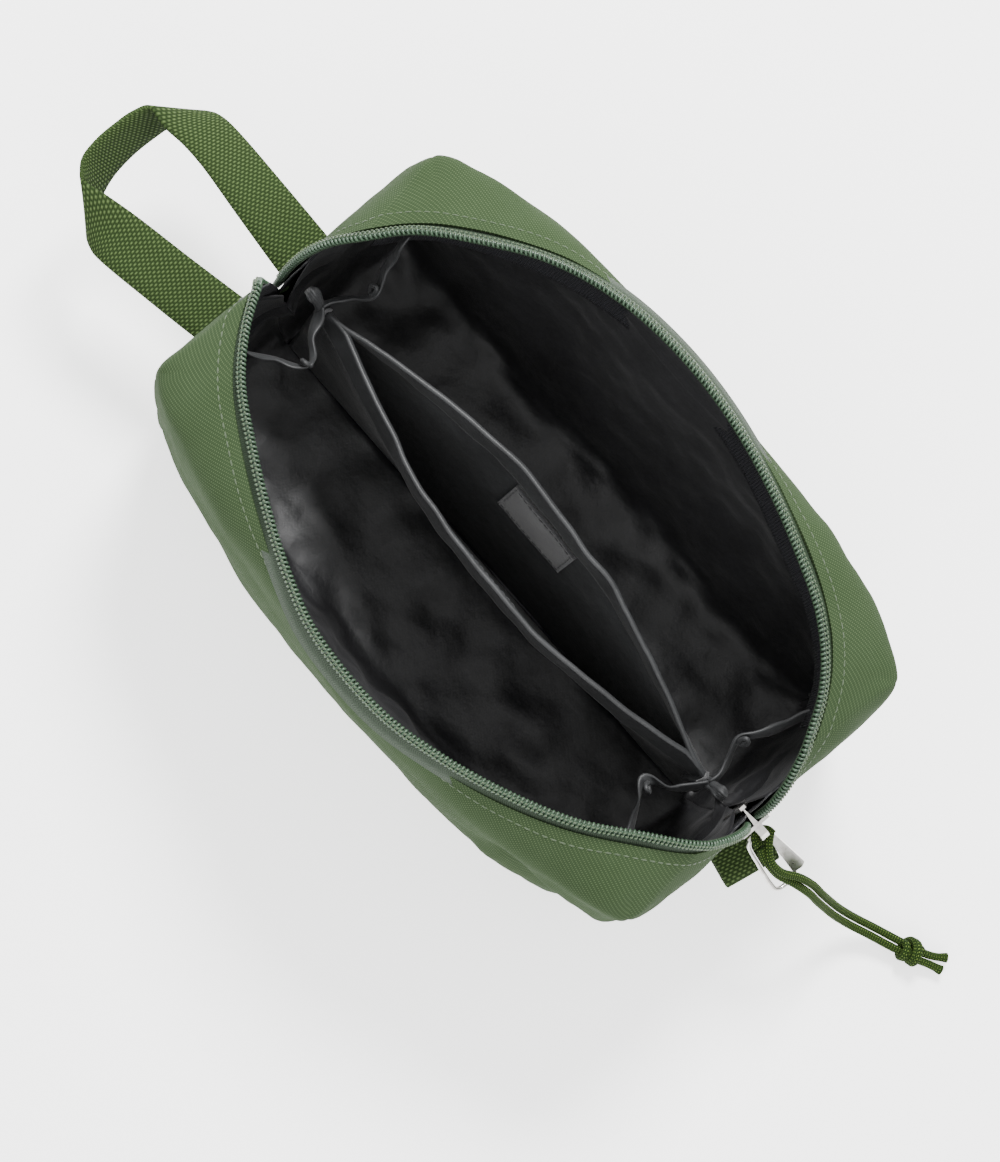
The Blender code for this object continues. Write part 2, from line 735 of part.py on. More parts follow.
def make_zip_half(side, word, parts, tape, facing):
    pieces = [
        make_zip_strip(f"zip_tape_{word}", side, TAPE_EDGES, TAPE_DEPTH, TAPE, parts, tape),
        make_zip_strip(f"zip_facing_{word}", side, FACING_EDGES, FACING_DEPTH, FACING, parts, facing),
        make_coil(f"zip_coil_{word}", side, parts, tape),
    ]
    x, y, z = MOUTH_PIVOT
    add_pivot(f"mouth_{word}_pivot", (x, side * y, z), pieces, parts)


def make_pull(parts, cutters, nickel, cord):
    slider = [make_slider(parts, cutters, nickel), make_bight(parts, cord)]
    carriage = add_pivot("slider_pivot", (FRONT_PLATE_X, 0, SLIDER_Z), slider, parts)
    pull = [make_ring(parts, nickel), *make_strands(parts, cord), make_knot(parts, cord)]
    pull += [make_cord_end("cord_end_a", 1, parts, cord), make_cord_end("cord_end_b", -1, parts, cord)]
    hinge = add_pivot("pull_pivot", (HINGE_X, 0, HINGE_Z), pull, parts)
    hinge.parent = carriage
    hinge.matrix_parent_inverse = Matrix.Translation(-carriage.location)


def main():
    clear_scene()
    parts = new_collection("cable_organizer_pouch")
    cutters = new_collection("cutters")
    fabric = material("woven_fabric", GREEN, 0.85)
    webbing = material("webbing", WEBBING_GREEN, 0.85)
    zip_green = material("zip_coil", ZIP_GREEN, 0.45)
    lining = material("lining", BLACK, 0.6)
    grey = material("divider_fabric", GREY, 0.6)
    nickel = material("nickel", NICKEL, 0.25, 1.0)
    cord = material("cord", WEBBING_GREEN, 0.8)

    make_bag(parts, fabric, lining, webbing)
    for side, word, patch in ((-1, "left", "hook_patch"), (1, "right", "loop_patch")):
        make_zip_half(side, word, parts, zip_green, lining)
        leaf = make_leaf(f"divider_leaf_{word}", side, parts, grey)
        pocket = [leaf, make_patch(patch, side, parts, lining)]
        add_pivot(f"divider_{word}_pivot", (0, side * LEAF_Y, LEAF_BOTTOM), pocket, parts)
    make_end_stop(parts, nickel)
    make_pull(parts, cutters, nickel, cord)


main()
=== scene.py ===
"""Looks of the cable organizer pouch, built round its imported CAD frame.

Lengths are in millimetres in the tables and functions, in the pouch's own frame: +X towards the slider
end, +Y across, +Z up. They are scaled to metres when a mesh is made. Side 1 is +Y ("right") and side -1
is -Y ("left"); end 1 is the slider end and end -1 the handle end.
"""

import math

import bmesh
import bpy
import numpy as np
from mathutils import Matrix, Vector, noise
from mathutils.bvhtree import BVHTree


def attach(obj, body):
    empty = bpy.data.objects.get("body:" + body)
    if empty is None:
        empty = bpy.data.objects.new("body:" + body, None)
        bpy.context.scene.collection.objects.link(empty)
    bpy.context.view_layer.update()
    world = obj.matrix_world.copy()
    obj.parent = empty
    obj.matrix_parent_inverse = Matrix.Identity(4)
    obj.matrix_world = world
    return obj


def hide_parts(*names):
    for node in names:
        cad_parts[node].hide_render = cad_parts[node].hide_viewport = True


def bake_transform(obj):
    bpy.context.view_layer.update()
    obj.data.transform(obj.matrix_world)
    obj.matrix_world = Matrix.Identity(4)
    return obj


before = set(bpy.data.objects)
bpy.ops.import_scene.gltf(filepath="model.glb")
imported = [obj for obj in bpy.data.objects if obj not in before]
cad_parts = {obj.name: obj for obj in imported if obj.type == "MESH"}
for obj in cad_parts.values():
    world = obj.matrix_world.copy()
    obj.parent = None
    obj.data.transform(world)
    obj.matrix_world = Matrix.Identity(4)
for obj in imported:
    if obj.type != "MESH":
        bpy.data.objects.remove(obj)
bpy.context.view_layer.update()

MM = 0.001
SIDES = ((-1, "left"), (1, "right"))
ENDS = ((-1, "handle"), (1, "slider"))


def placed(name, data):
    """A new object in the scene."""
    obj = bpy.data.objects.new(name, data)
    bpy.context.scene.collection.objects.link(obj)
    return obj


def declare(obj, node=None, body=None):
    """Hides the CAD node that a visible piece stands for, and hangs the piece on the body it rides if it is
    rigid.
    """
    if node:
        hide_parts(node)
    if body:
        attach(obj, body)
    return obj


# ---------------------------------------------------------------- camera, light and floor

CAMERA_FROM = (math.radians(-4.4), math.radians(79.7))  # azimuth and elevation it looks from
CAMERA_ROLL = math.radians(53.1)
CAMERA_DISTANCE = 1400.0
CAMERA_AT = Vector((4.6, -7.5, 50.0))
FOCAL = 4.342  # focal length over image width


def add_camera():
    azimuth, elevation = CAMERA_FROM
    flat = math.cos(elevation)
    back = Vector((flat * math.sin(azimuth), -flat * math.cos(azimuth), math.sin(elevation)))
    right = Vector((math.cos(azimuth), math.sin(azimuth), 0))
    up = back.cross(right)
    c, s = math.cos(CAMERA_ROLL), math.sin(CAMERA_ROLL)
    right, up = right * c + up * s, up * c - right * s
    data = bpy.data.cameras.new("camera")
    data.sensor_fit = "HORIZONTAL"
    data.sensor_width = 36.0
    data.lens = FOCAL * data.sensor_width
    data.clip_start, data.clip_end = 0.05, 20.0
    camera = placed("camera", data)
    place = (CAMERA_AT + back * CAMERA_DISTANCE) * MM
    axes = Matrix((right, up, back)).transposed().to_4x4()
    camera.matrix_world = Matrix.Translation(place) @ axes
    bpy.context.scene.camera = camera


def add_area_light(name, position, size, power):
    data = bpy.data.lights.new(name, "AREA")
    data.shape = "DISK"
    data.size = size
    data.energy = power
    light = placed(name, data)
    light.location = position
    way = Vector(position) - Vector(LIGHT_TARGET)
    light.rotation_euler = way.to_track_quat("Z", "Y").to_euler()


WORLD_STRENGTH = 1.5
FLOOR_WHITE, FLOOR_GLOW = 0.93, 1.5  # the paper glows a little, so that it stays white between soft shadows
LIGHT_TARGET = (0, 0, 0.05)


def add_studio():
    world = bpy.data.worlds.new("studio")
    bpy.context.scene.world = world
    world.use_nodes = True
    back = world.node_tree.nodes["Background"]
    back.inputs["Color"].default_value = (1.0, 1.0, 1.0, 1)
    back.inputs["Strength"].default_value = WORLD_STRENGTH
    add_area_light("key", (-0.55, 0.75, 1.25), size=0.5, power=50.0)
    add_area_light("fill", (0.9, -0.9, 1.1), size=1.2, power=13.0)
    mesh = bmesh.new()
    bmesh.ops.create_grid(mesh, x_segments=2, y_segments=2, size=3.0)
    data = bpy.data.meshes.new("floor")
    mesh.to_mesh(data)
    mesh.free()
    floor = placed("floor", data)
    floor.location.z = -0.0004
    made = bpy.data.materials.new("floor_paper")
    made.use_nodes = True
    shader = made.node_tree.nodes["Principled BSDF"]
    shader.inputs["Base Color"].default_value = (FLOOR_WHITE, FLOOR_WHITE, FLOOR_WHITE, 1)
    shader.inputs["Roughness"].default_value = 0.9
    shader.inputs["Emission Color"].default_value = (1.0, 1.0, 1.0, 1)
    shader.inputs["Emission Strength"].default_value = FLOOR_GLOW
    data.materials.append(made)


# ---------------------------------------------------------------- material nodes

CLOTH_SHADE = 0.62  # cloth colours are darkened by this much, to suit the bright studio


class Nodes:
    """A material and short calls that add nodes to it."""

    def __init__(self, name, colour, roughness, metallic=0.0, sheen=0.0, gloss=0.5):
        self.material = bpy.data.materials.new(name)
        self.material.use_nodes = True
        self.metal = metallic > 0
        self.tree = self.material.node_tree
        self.shader = self.tree.nodes["Principled BSDF"]
        look = {"Base Color": (*colour, 1), "Roughness": roughness, "Metallic": metallic,
                "Sheen Weight": sheen, "Sheen Roughness": 0.5, "Specular IOR Level": gloss}
        for socket, value in look.items():
            self.shader.inputs[socket].default_value = value

    def add(self, kind, *inputs, out=0, **settings):
        node = self.tree.nodes.new("ShaderNode" + kind)
        for key, value in settings.items():
            setattr(node, key, value)
        for socket, value in zip(node.inputs, inputs):
            self.put(socket, value)
        return node.outputs[out]

    def put(self, socket, value):
        if value is None:
            return
        if isinstance(value, bpy.types.NodeSocket):
            self.tree.links.new(value, socket)
        else:
            socket.default_value = value

    def math(self, operation, *inputs):
        return self.add("Math", *inputs, operation=operation)

    def cloth(self):
        """The two coordinates of the flat cloth, in millimetres."""
        vector = self.add("UVMap", uv_map="cloth")
        split = self.tree.nodes.new("ShaderNodeSeparateXYZ")
        self.put(split.inputs[0], vector)
        return split.outputs[0], split.outputs[1]

    def wave(self, coordinate, pitch, shift=0.0):
        """The sine of half a turn for each pitch along a coordinate."""
        turned = self.math("MULTIPLY_ADD", coordinate, math.pi / pitch, shift)
        return self.math("SINE", turned)

    def noise(self, scale, detail=2.0, roughness=0.5):
        """Noise in the object's own space; scale is in features for each metre."""
        where = self.add("TexCoord", out=3)
        made = self.tree.nodes.new("ShaderNodeTexNoise")
        self.put(made.inputs["Vector"], where)
        made.inputs["Scale"].default_value = scale
        made.inputs["Detail"].default_value = detail
        made.inputs["Roughness"].default_value = roughness
        return made.outputs["Fac"]

    def ramp(self, factor, *stops, shade=None):
        """Colours along a factor; cloth is darkened to suit the bright studio."""
        shade = shade or (1.0 if self.metal else CLOTH_SHADE)
        made = self.tree.nodes.new("ShaderNodeValToRGB")
        self.put(made.inputs[0], factor)
        elements = made.color_ramp.elements
        while len(elements) < len(stops):
            elements.new(0.5)
        for element, (place, colour) in zip(elements, stops):
            element.position = place
            element.color = (*(c * shade for c in colour), 1)
        return made.outputs[0]

    def mix(self, factor, a, b, blend="MIX"):
        """Two colours mixed; each is three numbers or a socket."""
        made = self.tree.nodes.new("ShaderNodeMix")
        made.data_type = "RGBA"
        made.blend_type = blend
        self.put(made.inputs[0], factor)
        self.put(made.inputs[6], (*a, 1) if isinstance(a, tuple) else a)
        self.put(made.inputs[7], (*b, 1) if isinstance(b, tuple) else b)
        return made.outputs[2]

    def colour(self, value):
        self.put(self.shader.inputs["Base Color"], value)

    def rough(self, factor, low, high):
        made = self.add("MapRange", factor, 0.0, 1.0, low, high)
        self.put(self.shader.inputs["Roughness"], made)

    def bump(self, height, strength, distance_mm, under=None):
        made = self.tree.nodes.new("ShaderNodeBump")
        made.inputs["Strength"].default_value = strength
        made.inputs["Distance"].default_value = distance_mm * MM
        self.put(made.inputs["Height"], height)
        self.put(made.inputs["Normal"], under)
        self.put(self.shader.inputs["Normal"], made.outputs[0])
        return made.outputs[0]


def plain_weave(nodes, pitch_u, pitch_v):
    """Heights from 0 to 1 of a plain weave, whose lengthwise yarns stand prouder than the others."""
    u, v = nodes.cloth()
    cell = nodes.math("MULTIPLY", nodes.wave(u, pitch_u), nodes.wave(v, pitch_v))
    proud = nodes.math("MAXIMUM", cell, 0.0)
    low = nodes.math("MULTIPLY", nodes.math("MINIMUM", cell, 0.0), -0.3)
    return nodes.math("ADD", proud, low)


def woven_fabric():
    nodes = Nodes("woven_fabric", (0.06, 0.11, 0.04), 0.85, gloss=0.06)
    height = plain_weave(nodes, 0.62, 0.62)
    patchy = nodes.noise(45.0, 3.0)
    slub = nodes.noise(900.0, 1.0)
    # The cloth's own green, painted lighter on the yarns' crowns and darker in the hollows between them, as
    # highlight and shade.
    yarns = nodes.ramp(height, (0.0, (0.040, 0.066, 0.030)), (0.45, (0.066, 0.104, 0.048)),
                       (1.0, (0.128, 0.182, 0.088)))
    tint = nodes.ramp(patchy, (0.3, (0.88, 0.90, 0.86)), (0.7, (1.0, 1.0, 1.0)), shade=1.0)
    nodes.colour(nodes.mix(1.0, yarns, tint, "MULTIPLY"))
    nodes.rough(slub, 0.78, 0.95)
    nodes.bump(height, 0.55, 0.16)
    return nodes.material


def dark_cloth(name, low, high, rough):
    nodes = Nodes(name, high, 0.45, sheen=0.05)
    height = plain_weave(nodes, 0.35, 0.35)
    nodes.colour(nodes.ramp(nodes.noise(60.0, 4.0), (0.3, low), (0.75, high)))
    nodes.rough(height, rough[1], rough[0])
    crumple = nodes.bump(nodes.noise(160.0, 3.0), 0.5, 0.9)
    nodes.bump(height, 0.35, 0.06, crumple)
    return nodes.material


def grosgrain():
    nodes = Nodes("grosgrain", (0.014, 0.014, 0.016), 0.5)
    u, _ = nodes.cloth()
    rib = nodes.math("ABSOLUTE", nodes.wave(u, 1.0))
    # The tape's own black, painted darker between the ribs and lighter on them, as shade and highlight.
    nodes.colour(nodes.ramp(rib, (0.0, (0.004, 0.004, 0.005)), (0.8, (0.024, 0.024, 0.028))))
    nodes.rough(rib, 0.75, 0.42)
    nodes.bump(rib, 0.9, 0.35)
    return nodes.material


def ribbed_webbing():
    """Webbing with ribs across it, and columns of yarn along it."""
    nodes = Nodes("webbing", (0.035, 0.075, 0.02), 0.8, gloss=0.06)
    u, v = nodes.cloth()
    rib = nodes.math("ABSOLUTE", nodes.wave(u, 1.05))
    over = nodes.math("MULTIPLY", nodes.wave(u, 1.05), nodes.wave(v, 1.0))
    height = nodes.math("MULTIPLY", rib, nodes.math("MULTIPLY_ADD", over, 0.45, 0.5))
    # The webbing's own green, painted darker in the hollows between ribs and lighter on the raised yarns, as
    # shade and highlight.
    nodes.colour(nodes.ramp(height, (0.0, (0.016, 0.028, 0.009)), (0.35, (0.048, 0.084, 0.026)),
                            (1.0, (0.140, 0.205, 0.072))))
    nodes.rough(height, 0.85, 0.6)
    nodes.bump(height, 0.8, 0.4)
    return nodes.material


def tape_cloth():
    nodes = Nodes("zip_tape", (0.06, 0.12, 0.06), 0.7)
    u, v = nodes.cloth()
    slanted = nodes.math("ADD", u, nodes.math("ABSOLUTE", nodes.wave(v, 2.4)))
    rib = nodes.math("ABSOLUTE", nodes.wave(slanted, 0.7))
    # The tape's own green, painted darker between its slanted ribs and lighter on them, as shade and
    # highlight.
    nodes.colour(nodes.ramp(rib, (0.0, (0.008, 0.018, 0.008)), (1.0, (0.040, 0.074, 0.034))))
    nodes.bump(rib, 0.6, 0.2)
    return nodes.material


def coil_nylon():
    nodes = Nodes("coil_nylon", (0.065, 0.14, 0.085), 0.36)
    shade = nodes.noise(700.0, 2.0)
    nodes.colour(nodes.ramp(shade, (0.3, (0.038, 0.080, 0.044)), (0.7, (0.072, 0.130, 0.072))))
    nodes.rough(shade, 0.28, 0.45)
    return nodes.material


def sewing_thread(name, dark, light):
    nodes = Nodes(name, light, 0.6, sheen=0.2)
    u, v = nodes.cloth()
    twist = nodes.math("ABSOLUTE", nodes.wave(nodes.math("ADD", u, v), 0.45))
    # The thread's colour, painted darker in the grooves between its plies and lighter on their crowns, as
    # shade and highlight.
    nodes.colour(nodes.ramp(twist, (0.0, dark), (1.0, light)))
    nodes.bump(twist, 0.5, 0.08)
    return nodes.material


def braided_cord():
    """Two families of strands wound opposite ways, painted lighter where one crosses over, as highlights on
    the crowns.
    """
    nodes = Nodes("braided_cord", (0.03, 0.06, 0.015), 0.8, gloss=0.05)
    u, v = nodes.cloth()
    one = nodes.wave(nodes.math("ADD", u, v), 0.95)
    other = nodes.wave(nodes.math("SUBTRACT", u, v), 0.95)
    crossing = nodes.math("MULTIPLY", one, other)
    height = nodes.math("ABSOLUTE", crossing)
    # The cord's own green, painted darker in the hollows between the strands, as shade.
    dark = nodes.ramp(height, (0.0, (0.006, 0.014, 0.003)), (0.8, (0.030, 0.062, 0.014)))
    # A painted highlight on the crowns where the strands cross.
    crown_highlight = nodes.math("GREATER_THAN", crossing, 0.55)
    nodes.colour(nodes.mix(crown_highlight, dark, (0.085, 0.130, 0.028)))
    nodes.rough(height, 0.9, 0.7)
    nodes.bump(height, 0.5, 0.14)
    return nodes.material


def nickel_plate():
    nodes = Nodes("nickel_plate", (0.72, 0.70, 0.67), 0.22, metallic=1.0)
    worn = nodes.noise(420.0, 4.0, 0.6)
    nodes.colour(nodes.ramp(worn, (0.35, (0.60, 0.58, 0.55)), (0.65, (0.78, 0.765, 0.74))))
    nodes.rough(worn, 0.2, 0.38)
    nodes.bump(nodes.noise(1500.0, 2.0), 0.12, 0.05)
    return nodes.material


def patch_pile(name, hooks):
    """Half of a touch fastening: stiff hooks in rows, or a nap of fine loops."""
    nodes = Nodes(name, (0.012, 0.012, 0.013), 0.8, sheen=0.3)
    if hooks:
        u, v = nodes.cloth()
        height = nodes.math("MULTIPLY", nodes.wave(u, 0.8), nodes.wave(v, 0.6))
        height = nodes.math("ABSOLUTE", height)
    else:
        height = nodes.noise(2600.0, 3.0, 0.7)
    # The pile's own black, painted darker where the pile lies low and lighter where it stands high, as shade
    # and highlight.
    nodes.colour(nodes.ramp(height, (0.2, (0.004, 0.004, 0.005)), (0.9, (0.040, 0.041, 0.043))))
    nodes.bump(height, 0.9, 0.45)
    return nodes.material


# ---------------------------------------------------------------- mesh helpers


def mesh_object(name, points, faces, finish, cloth=None):
    """A mesh from points in millimetres; cloth gives two flat coordinates for each point."""
    data = bpy.data.meshes.new(name)
    data.from_pydata([tuple(c * MM for c in p) for p in points], [], faces)
    if cloth is not None:
        layer = data.uv_layers.new(name="cloth")
        for loop in data.loops:
            layer.data[loop.index].uv = cloth[loop.vertex_index]
    data.materials.append(finish)
    data.shade_smooth()
    return placed(name, data)


def grid_faces(rows, columns, start=0, closed=False):
    """Faces of a grid whose points are numbered row by row; a closed one joins up round each row."""
    faces = []
    for r in range(rows - 1):
        for c in range(columns if closed else columns - 1):
            a, b = start + r * columns + c, start + r * columns + (c + 1) % columns
            faces.append((a, b, b + columns, a + columns))
    return faces


def end_caps(start, rows, columns):
    """The two faces that close a grid which is closed round its rows."""
    last = start + (rows - 1) * columns
    return [tuple(range(start, start + columns))[::-1], tuple(range(last, last + columns))]


def applied(obj):
    """Replaces a piece's mesh by what its modifiers make of it."""
    bpy.context.view_layer.update()
    evaluated = obj.evaluated_get(bpy.context.evaluated_depsgraph_get())
    data = bpy.data.meshes.new_from_object(evaluated)
    obj.modifiers.clear()
    obj.data = data
    return obj


def thicken(obj, thickness, offset=-1.0):
    """Gives a sheet a thickness, inwards from its face or, with no offset, both ways."""
    shell = obj.modifiers.new("thickness", "SOLIDIFY")
    shell.thickness = thickness * MM
    shell.offset = offset
    return applied(obj)


def layer(name, points, columns, finish, cloth, thickness):
    """A sheet through a grid of points."""
    obj = mesh_object(name, points, grid_faces(len(points) // columns, columns), finish, cloth)
    return thicken(obj, thickness, 0.0)


def edit_mesh(obj, *changes):
    mesh = bmesh.new()
    mesh.from_mesh(obj.data)
    for change in changes:
        change(mesh)
    mesh.to_mesh(obj.data)
    mesh.free()


def face_outwards(mesh):
    bmesh.ops.recalc_face_normals(mesh, faces=mesh.faces)


def turn_over(mesh):
    bmesh.ops.reverse_faces(mesh, faces=mesh.faces)


def between(a, b, start, end, t):
    return (end - t) / (end - start) * a + (t - start) / (end - start) * b


def spline(points, spacing):
    """Points about a set distance apart on a smooth curve through the given ones."""
    p = np.array(points, float)
    p = np.vstack([2 * p[0] - p[1], p, 2 * p[-1] - p[-2]])
    fine = []
    for p0, p1, p2, p3 in zip(p, p[1:], p[2:], p[3:]):
        k0, k1, k2, k3 = np.cumsum([0.0] + [max(1e-6, np.linalg.norm(b - a)) ** 0.5
                                            for a, b in ((p0, p1), (p1, p2), (p2, p3))])
        for t in np.linspace(k1, k2, 24, endpoint=False):
            a1, a2, a3 = between(p0, p1, k0, k1, t), between(p1, p2, k1, k2, t), between(p2, p3, k2, k3, t)
            b1, b2 = between(a1, a2, k0, k2, t), between(a2, a3, k1, k3, t)
            fine.append(between(b1, b2, k1, k2, t))
    fine.append(p[-2])
    return resampled(np.array(fine), spacing)


def lengths(line):
    return np.concatenate([[0.0], np.cumsum(np.linalg.norm(np.diff(line, axis=0), axis=1))])


def sampled(values, along, at):
    """Rows of values at the given lengths along a line."""
    return np.stack([np.interp(at, along, column) for column in values.T], axis=-1)


def resampled(line, spacing):
    along = lengths(line)
    count = max(2, round(along[-1] / spacing)) + 1
    return sampled(line, along, np.linspace(0.0, along[-1], count))


def unit(v):
    v = np.asarray(v, float)
    return v / np.maximum(np.linalg.norm(v, axis=-1, keepdims=True), 1e-9)


def tangents(line):
    return unit(np.gradient(line, axis=0))


def carried_frame(line, first):
    """Two vectors across a line at each point, carried along it without twist."""
    tangent = tangents(line)
    across = unit(first - np.dot(first, tangent[0]) * tangent[0])
    found = [across]
    for t in tangent[1:]:
        across = unit(across - np.dot(across, t) * t)
        found.append(across)
    found = np.array(found)
    return found, np.cross(tangent, found)


def tube(name, line, radii, finish, sides=10, first=(0, 0, 1)):
    """A closed round tube along a line; radii is one size or one for each point."""
    line = np.asarray(line, float)
    one, other = carried_frame(line, np.array(first, float))
    radii = np.broadcast_to(radii, len(line))
    along = lengths(line)
    girth = 2 * math.pi * float(np.mean(radii))
    points, cloth = [], []
    for k in range(len(line)):
        for j in range(sides):
            angle = 2 * math.pi * j / sides
            points.append(line[k] + radii[k] * (one[k] * math.cos(angle) + other[k] * math.sin(angle)))
            cloth.append((along[k], girth * j / sides))
    faces = grid_faces(len(line), sides, closed=True) + end_caps(0, len(line), sides)
    return mesh_object(name, points, faces, finish, cloth)


def joined(name, pieces):
    """One piece from several that share a finish."""
    mesh = bmesh.new()
    for piece in pieces:
        mesh.from_mesh(piece.data)
    data = pieces[0].data.copy()
    mesh.to_mesh(data)
    mesh.free()
    data.name = name
    for piece in pieces:
        bpy.data.objects.remove(piece)
    return placed(name, data)


# ---------------------------------------------------------------- the line of the zip

HALF_LENGTH = 114.0
LONG_SEAM_Z = 22.0
END_SEAM_Z = 46.0
CORNER_TOP_Z = 90.0
CORNER_TOP_X = {(1, -1): -113.0, (-1, -1): -117.5, (1, 1): 113.5, (-1, 1): 112.0}
PANEL_EDGE = 4.5

# Where the coil runs along each side of the mouth, from the handle end to the slider end
MOUTH = {
    1: [(-105.5, 22.5, 95.5), (-95.5, 36, 101.5), (-79, 49, 106.5), (-60, 61, 109.5), (-38, 68.5, 111.5),
        (-14, 71.5, 112), (10, 70.5, 112), (34.5, 66, 111), (58, 59, 109), (79, 50.5, 106.5),
        (95, 38.5, 102), (107, 22, 94)],
    -1: [(-114.5, -12, 97.5), (-107, -24, 101), (-95, -37, 104), (-78, -48, 107), (-60, -58, 109.5),
         (-40, -67, 111.5), (-22, -72.5, 112), (9.5, -73.5, 112), (32, -68.5, 111), (53.6, -60.5, 109),
         (75, -49.5, 106), (92, -36, 102.5), (103, -27, 98), (109, -20.5, 92.5)],
}
# and down each end face, from the mouth to the end seam
DOWN = {
    (1, -1): [(-105.5, 22.5, 95.5), (-110.5, 16.5, 88), (-113.6, 10.5, 78), (-114.6, 5.8, 66),
              (-114.6, 3, 56), (-114.5, 1.9, 48.5)],
    (-1, -1): [(-114.5, -12, 97.5), (-116, -8.8, 86), (-115.6, -5.8, 72), (-115, -3.2, 60),
               (-114.5, -1.9, 48.5)],
    (1, 1): [(107, 22, 94), (111.5, 13, 86), (114, 6.5, 76), (114.6, 2.8, 67), (114.6, 1.8, 58),
             (114.6, 1.75, 51.5)],
    (-1, 1): [(109, -20.5, 92.5), (113, -12, 83.5), (114.6, -5.8, 74.5), (114.7, -2.6, 66),
              (114.6, -1.8, 58), (114.6, -1.75, 51.5)],
}


def openness(x):
    return 1 - min(1.0, abs(x) / HALF_LENGTH) ** 2.4


def mouth_point(side, share):
    """The coil's line beside the mouth, at a share of the way from the handle end to the slider end."""
    line = MOUTH_LINES[side]
    x = line[0][0] + share * (line[-1][0] - line[0][0])
    return np.array([x, np.interp(x, line[:, 0], line[:, 1]), np.interp(x, line[:, 0], line[:, 2])])


def down_point(side, end, z):
    line = DOWN_LINES[side, end][::-1]
    z = min(max(z, line[0][2]), line[-1][2])
    return np.array([np.interp(z, line[:, 2], line[:, 0]), np.interp(z, line[:, 2], line[:, 1]), z])


MOUTH_LINES = {side: spline(MOUTH[side], 1.0) for side, _ in SIDES}
DOWN_LINES = {key: spline(points, 1.0) for key, points in DOWN.items()}


# ---------------------------------------------------------------- the outer fabric

# How the cage is divided: up the end faces, over the top of a wall, under the base and along the bag
FLAP_UP = [1.0, 0.86, 0.68, 0.45, 0.22, 0.0]
TOP_SHARES = [0.0, 0.33, 0.66, 0.86, 1.0]
INSETS = [(0.0, LONG_SEAM_Z), (2.5, 10.0), (8.0, 3.0), (17.0, 0.0)]
STATIONS = [0.0, 0.18, 0.36, 0.54, 0.72, 97 / 114, 106 / 114, 111.5 / 114, 1.0]
STATIONS = [-u for u in STATIONS[:0:-1]] + STATIONS
WALL_BULGE = {1: 2.0, -1: 5.0}
# Half widths along the bag, as (x, how far out), at the long seam and at the shoulder
BASE_HALF = {
    1: [(-114, 60.0), (-80, 62.0), (0, 62.5), (80, 62.0), (114, 60.0)],
    -1: [(-114, 50.0), (-98, 54.5), (-80, 59.0), (-64, 61.5), (-45, 62.5), (45, 62.5), (60, 61.5),
         (76, 59.0), (94, 55.0), (114, 50.0)],
}
SHOULDER = {
    1: [(-113, 61.5), (-104, 66.0), (-86, 72.0), (-68, 74.6), (-52, 76.2), (-37, 76.0), (-20, 75.2),
        (0, 75.4), (26, 76.4), (40, 75.3), (55, 74.2), (71, 72.4), (91, 70.6), (113, 62.5)],
    -1: [(-114, 55.5), (-97, 62.5), (-79, 67.5), (-63, 70.5), (-50, 72.5), (-38, 74.2), (-27, 75.5),
         (-7, 76.0), (12, 76.3), (24, 76.6), (34, 76.0), (45, 74.4), (58, 72.0), (73, 69.0), (90, 64.5),
         (112, 57.0)],
}


def corner_point(side, end, z):
    up = min(1.0, max(0.0, (z - LONG_SEAM_Z) / (CORNER_TOP_Z - LONG_SEAM_Z)))
    x = end * HALF_LENGTH + (CORNER_TOP_X[side, end] - end * HALF_LENGTH) * up**1.4
    low, top = (half_width(table, side, end * HALF_LENGTH) for table in (BASE_HALF, SHOULDER))
    return np.array([x, side * (low + (top - low) * up), z])


def wall_y(side, x, up):
    """How far out the side wall stands: up runs from the seam at 0 to the shoulder at 1."""
    low, top = (half_width(table, side, x) for table in (BASE_HALF, SHOULDER))
    return low + (top - low) * up + WALL_BULGE[side] * openness(x) * math.sin(math.pi * min(1.0, up))


def half_width(table, side, x):
    """How far a side stands out from the middle, from one of the two tables."""
    places, widths = zip(*table[side])
    return float(np.interp(x, places, widths))


def wall_column(side, u):
    """A column of the cage: over the top from the zip to the shoulder, then down to the long seam."""
    end = 1 if u > 0 else -1
    m = openness(u * HALF_LENGTH)
    rim = mouth_point(side, (u + 1) / 2)
    corner = corner_point(side, end, CORNER_TOP_Z)
    x_top = abs(u) * corner[0]
    shoulder = np.array([x_top, side * wall_y(side, x_top, 1.0), CORNER_TOP_Z + 5 * m])
    reach = abs(shoulder[1] - rim[1])
    bend = np.array([(rim[0] + shoulder[0]) / 2, shoulder[1] - side * 0.15 * reach * (1 - m),
                     rim[2] - 1.0 - 2.0 * m])
    curve = np.array([rim * (1 - t) ** 2 + bend * 2 * t * (1 - t) + shoulder * t**2
                      for t in np.linspace(0, 1, 40)])
    along = lengths(curve)
    column, down = [], []
    for share in TOP_SHARES:
        at = PANEL_EDGE + (along[-1] - PANEL_EDGE) * share
        column.append([np.interp(at, along, curve[:, k]) for k in range(3)])
        down.append(at)
    for level in [END_SEAM_Z + (CORNER_TOP_Z - END_SEAM_Z) * f for f in FLAP_UP[1:]] + [34.0, LONG_SEAM_Z]:
        up = (level - LONG_SEAM_Z) / (CORNER_TOP_Z - LONG_SEAM_Z)
        z = LONG_SEAM_Z + (shoulder[2] - LONG_SEAM_Z) * up
        if level <= END_SEAM_Z:
            z = level
        x = abs(u) * corner_point(side, end, min(level, CORNER_TOP_Z))[0]
        column.append([x, side * wall_y(side, x, up), z])
        down.append(down[-1] + float(np.linalg.norm(np.subtract(column[-1], column[-2]))))
    return [np.array(p) for p in column], down


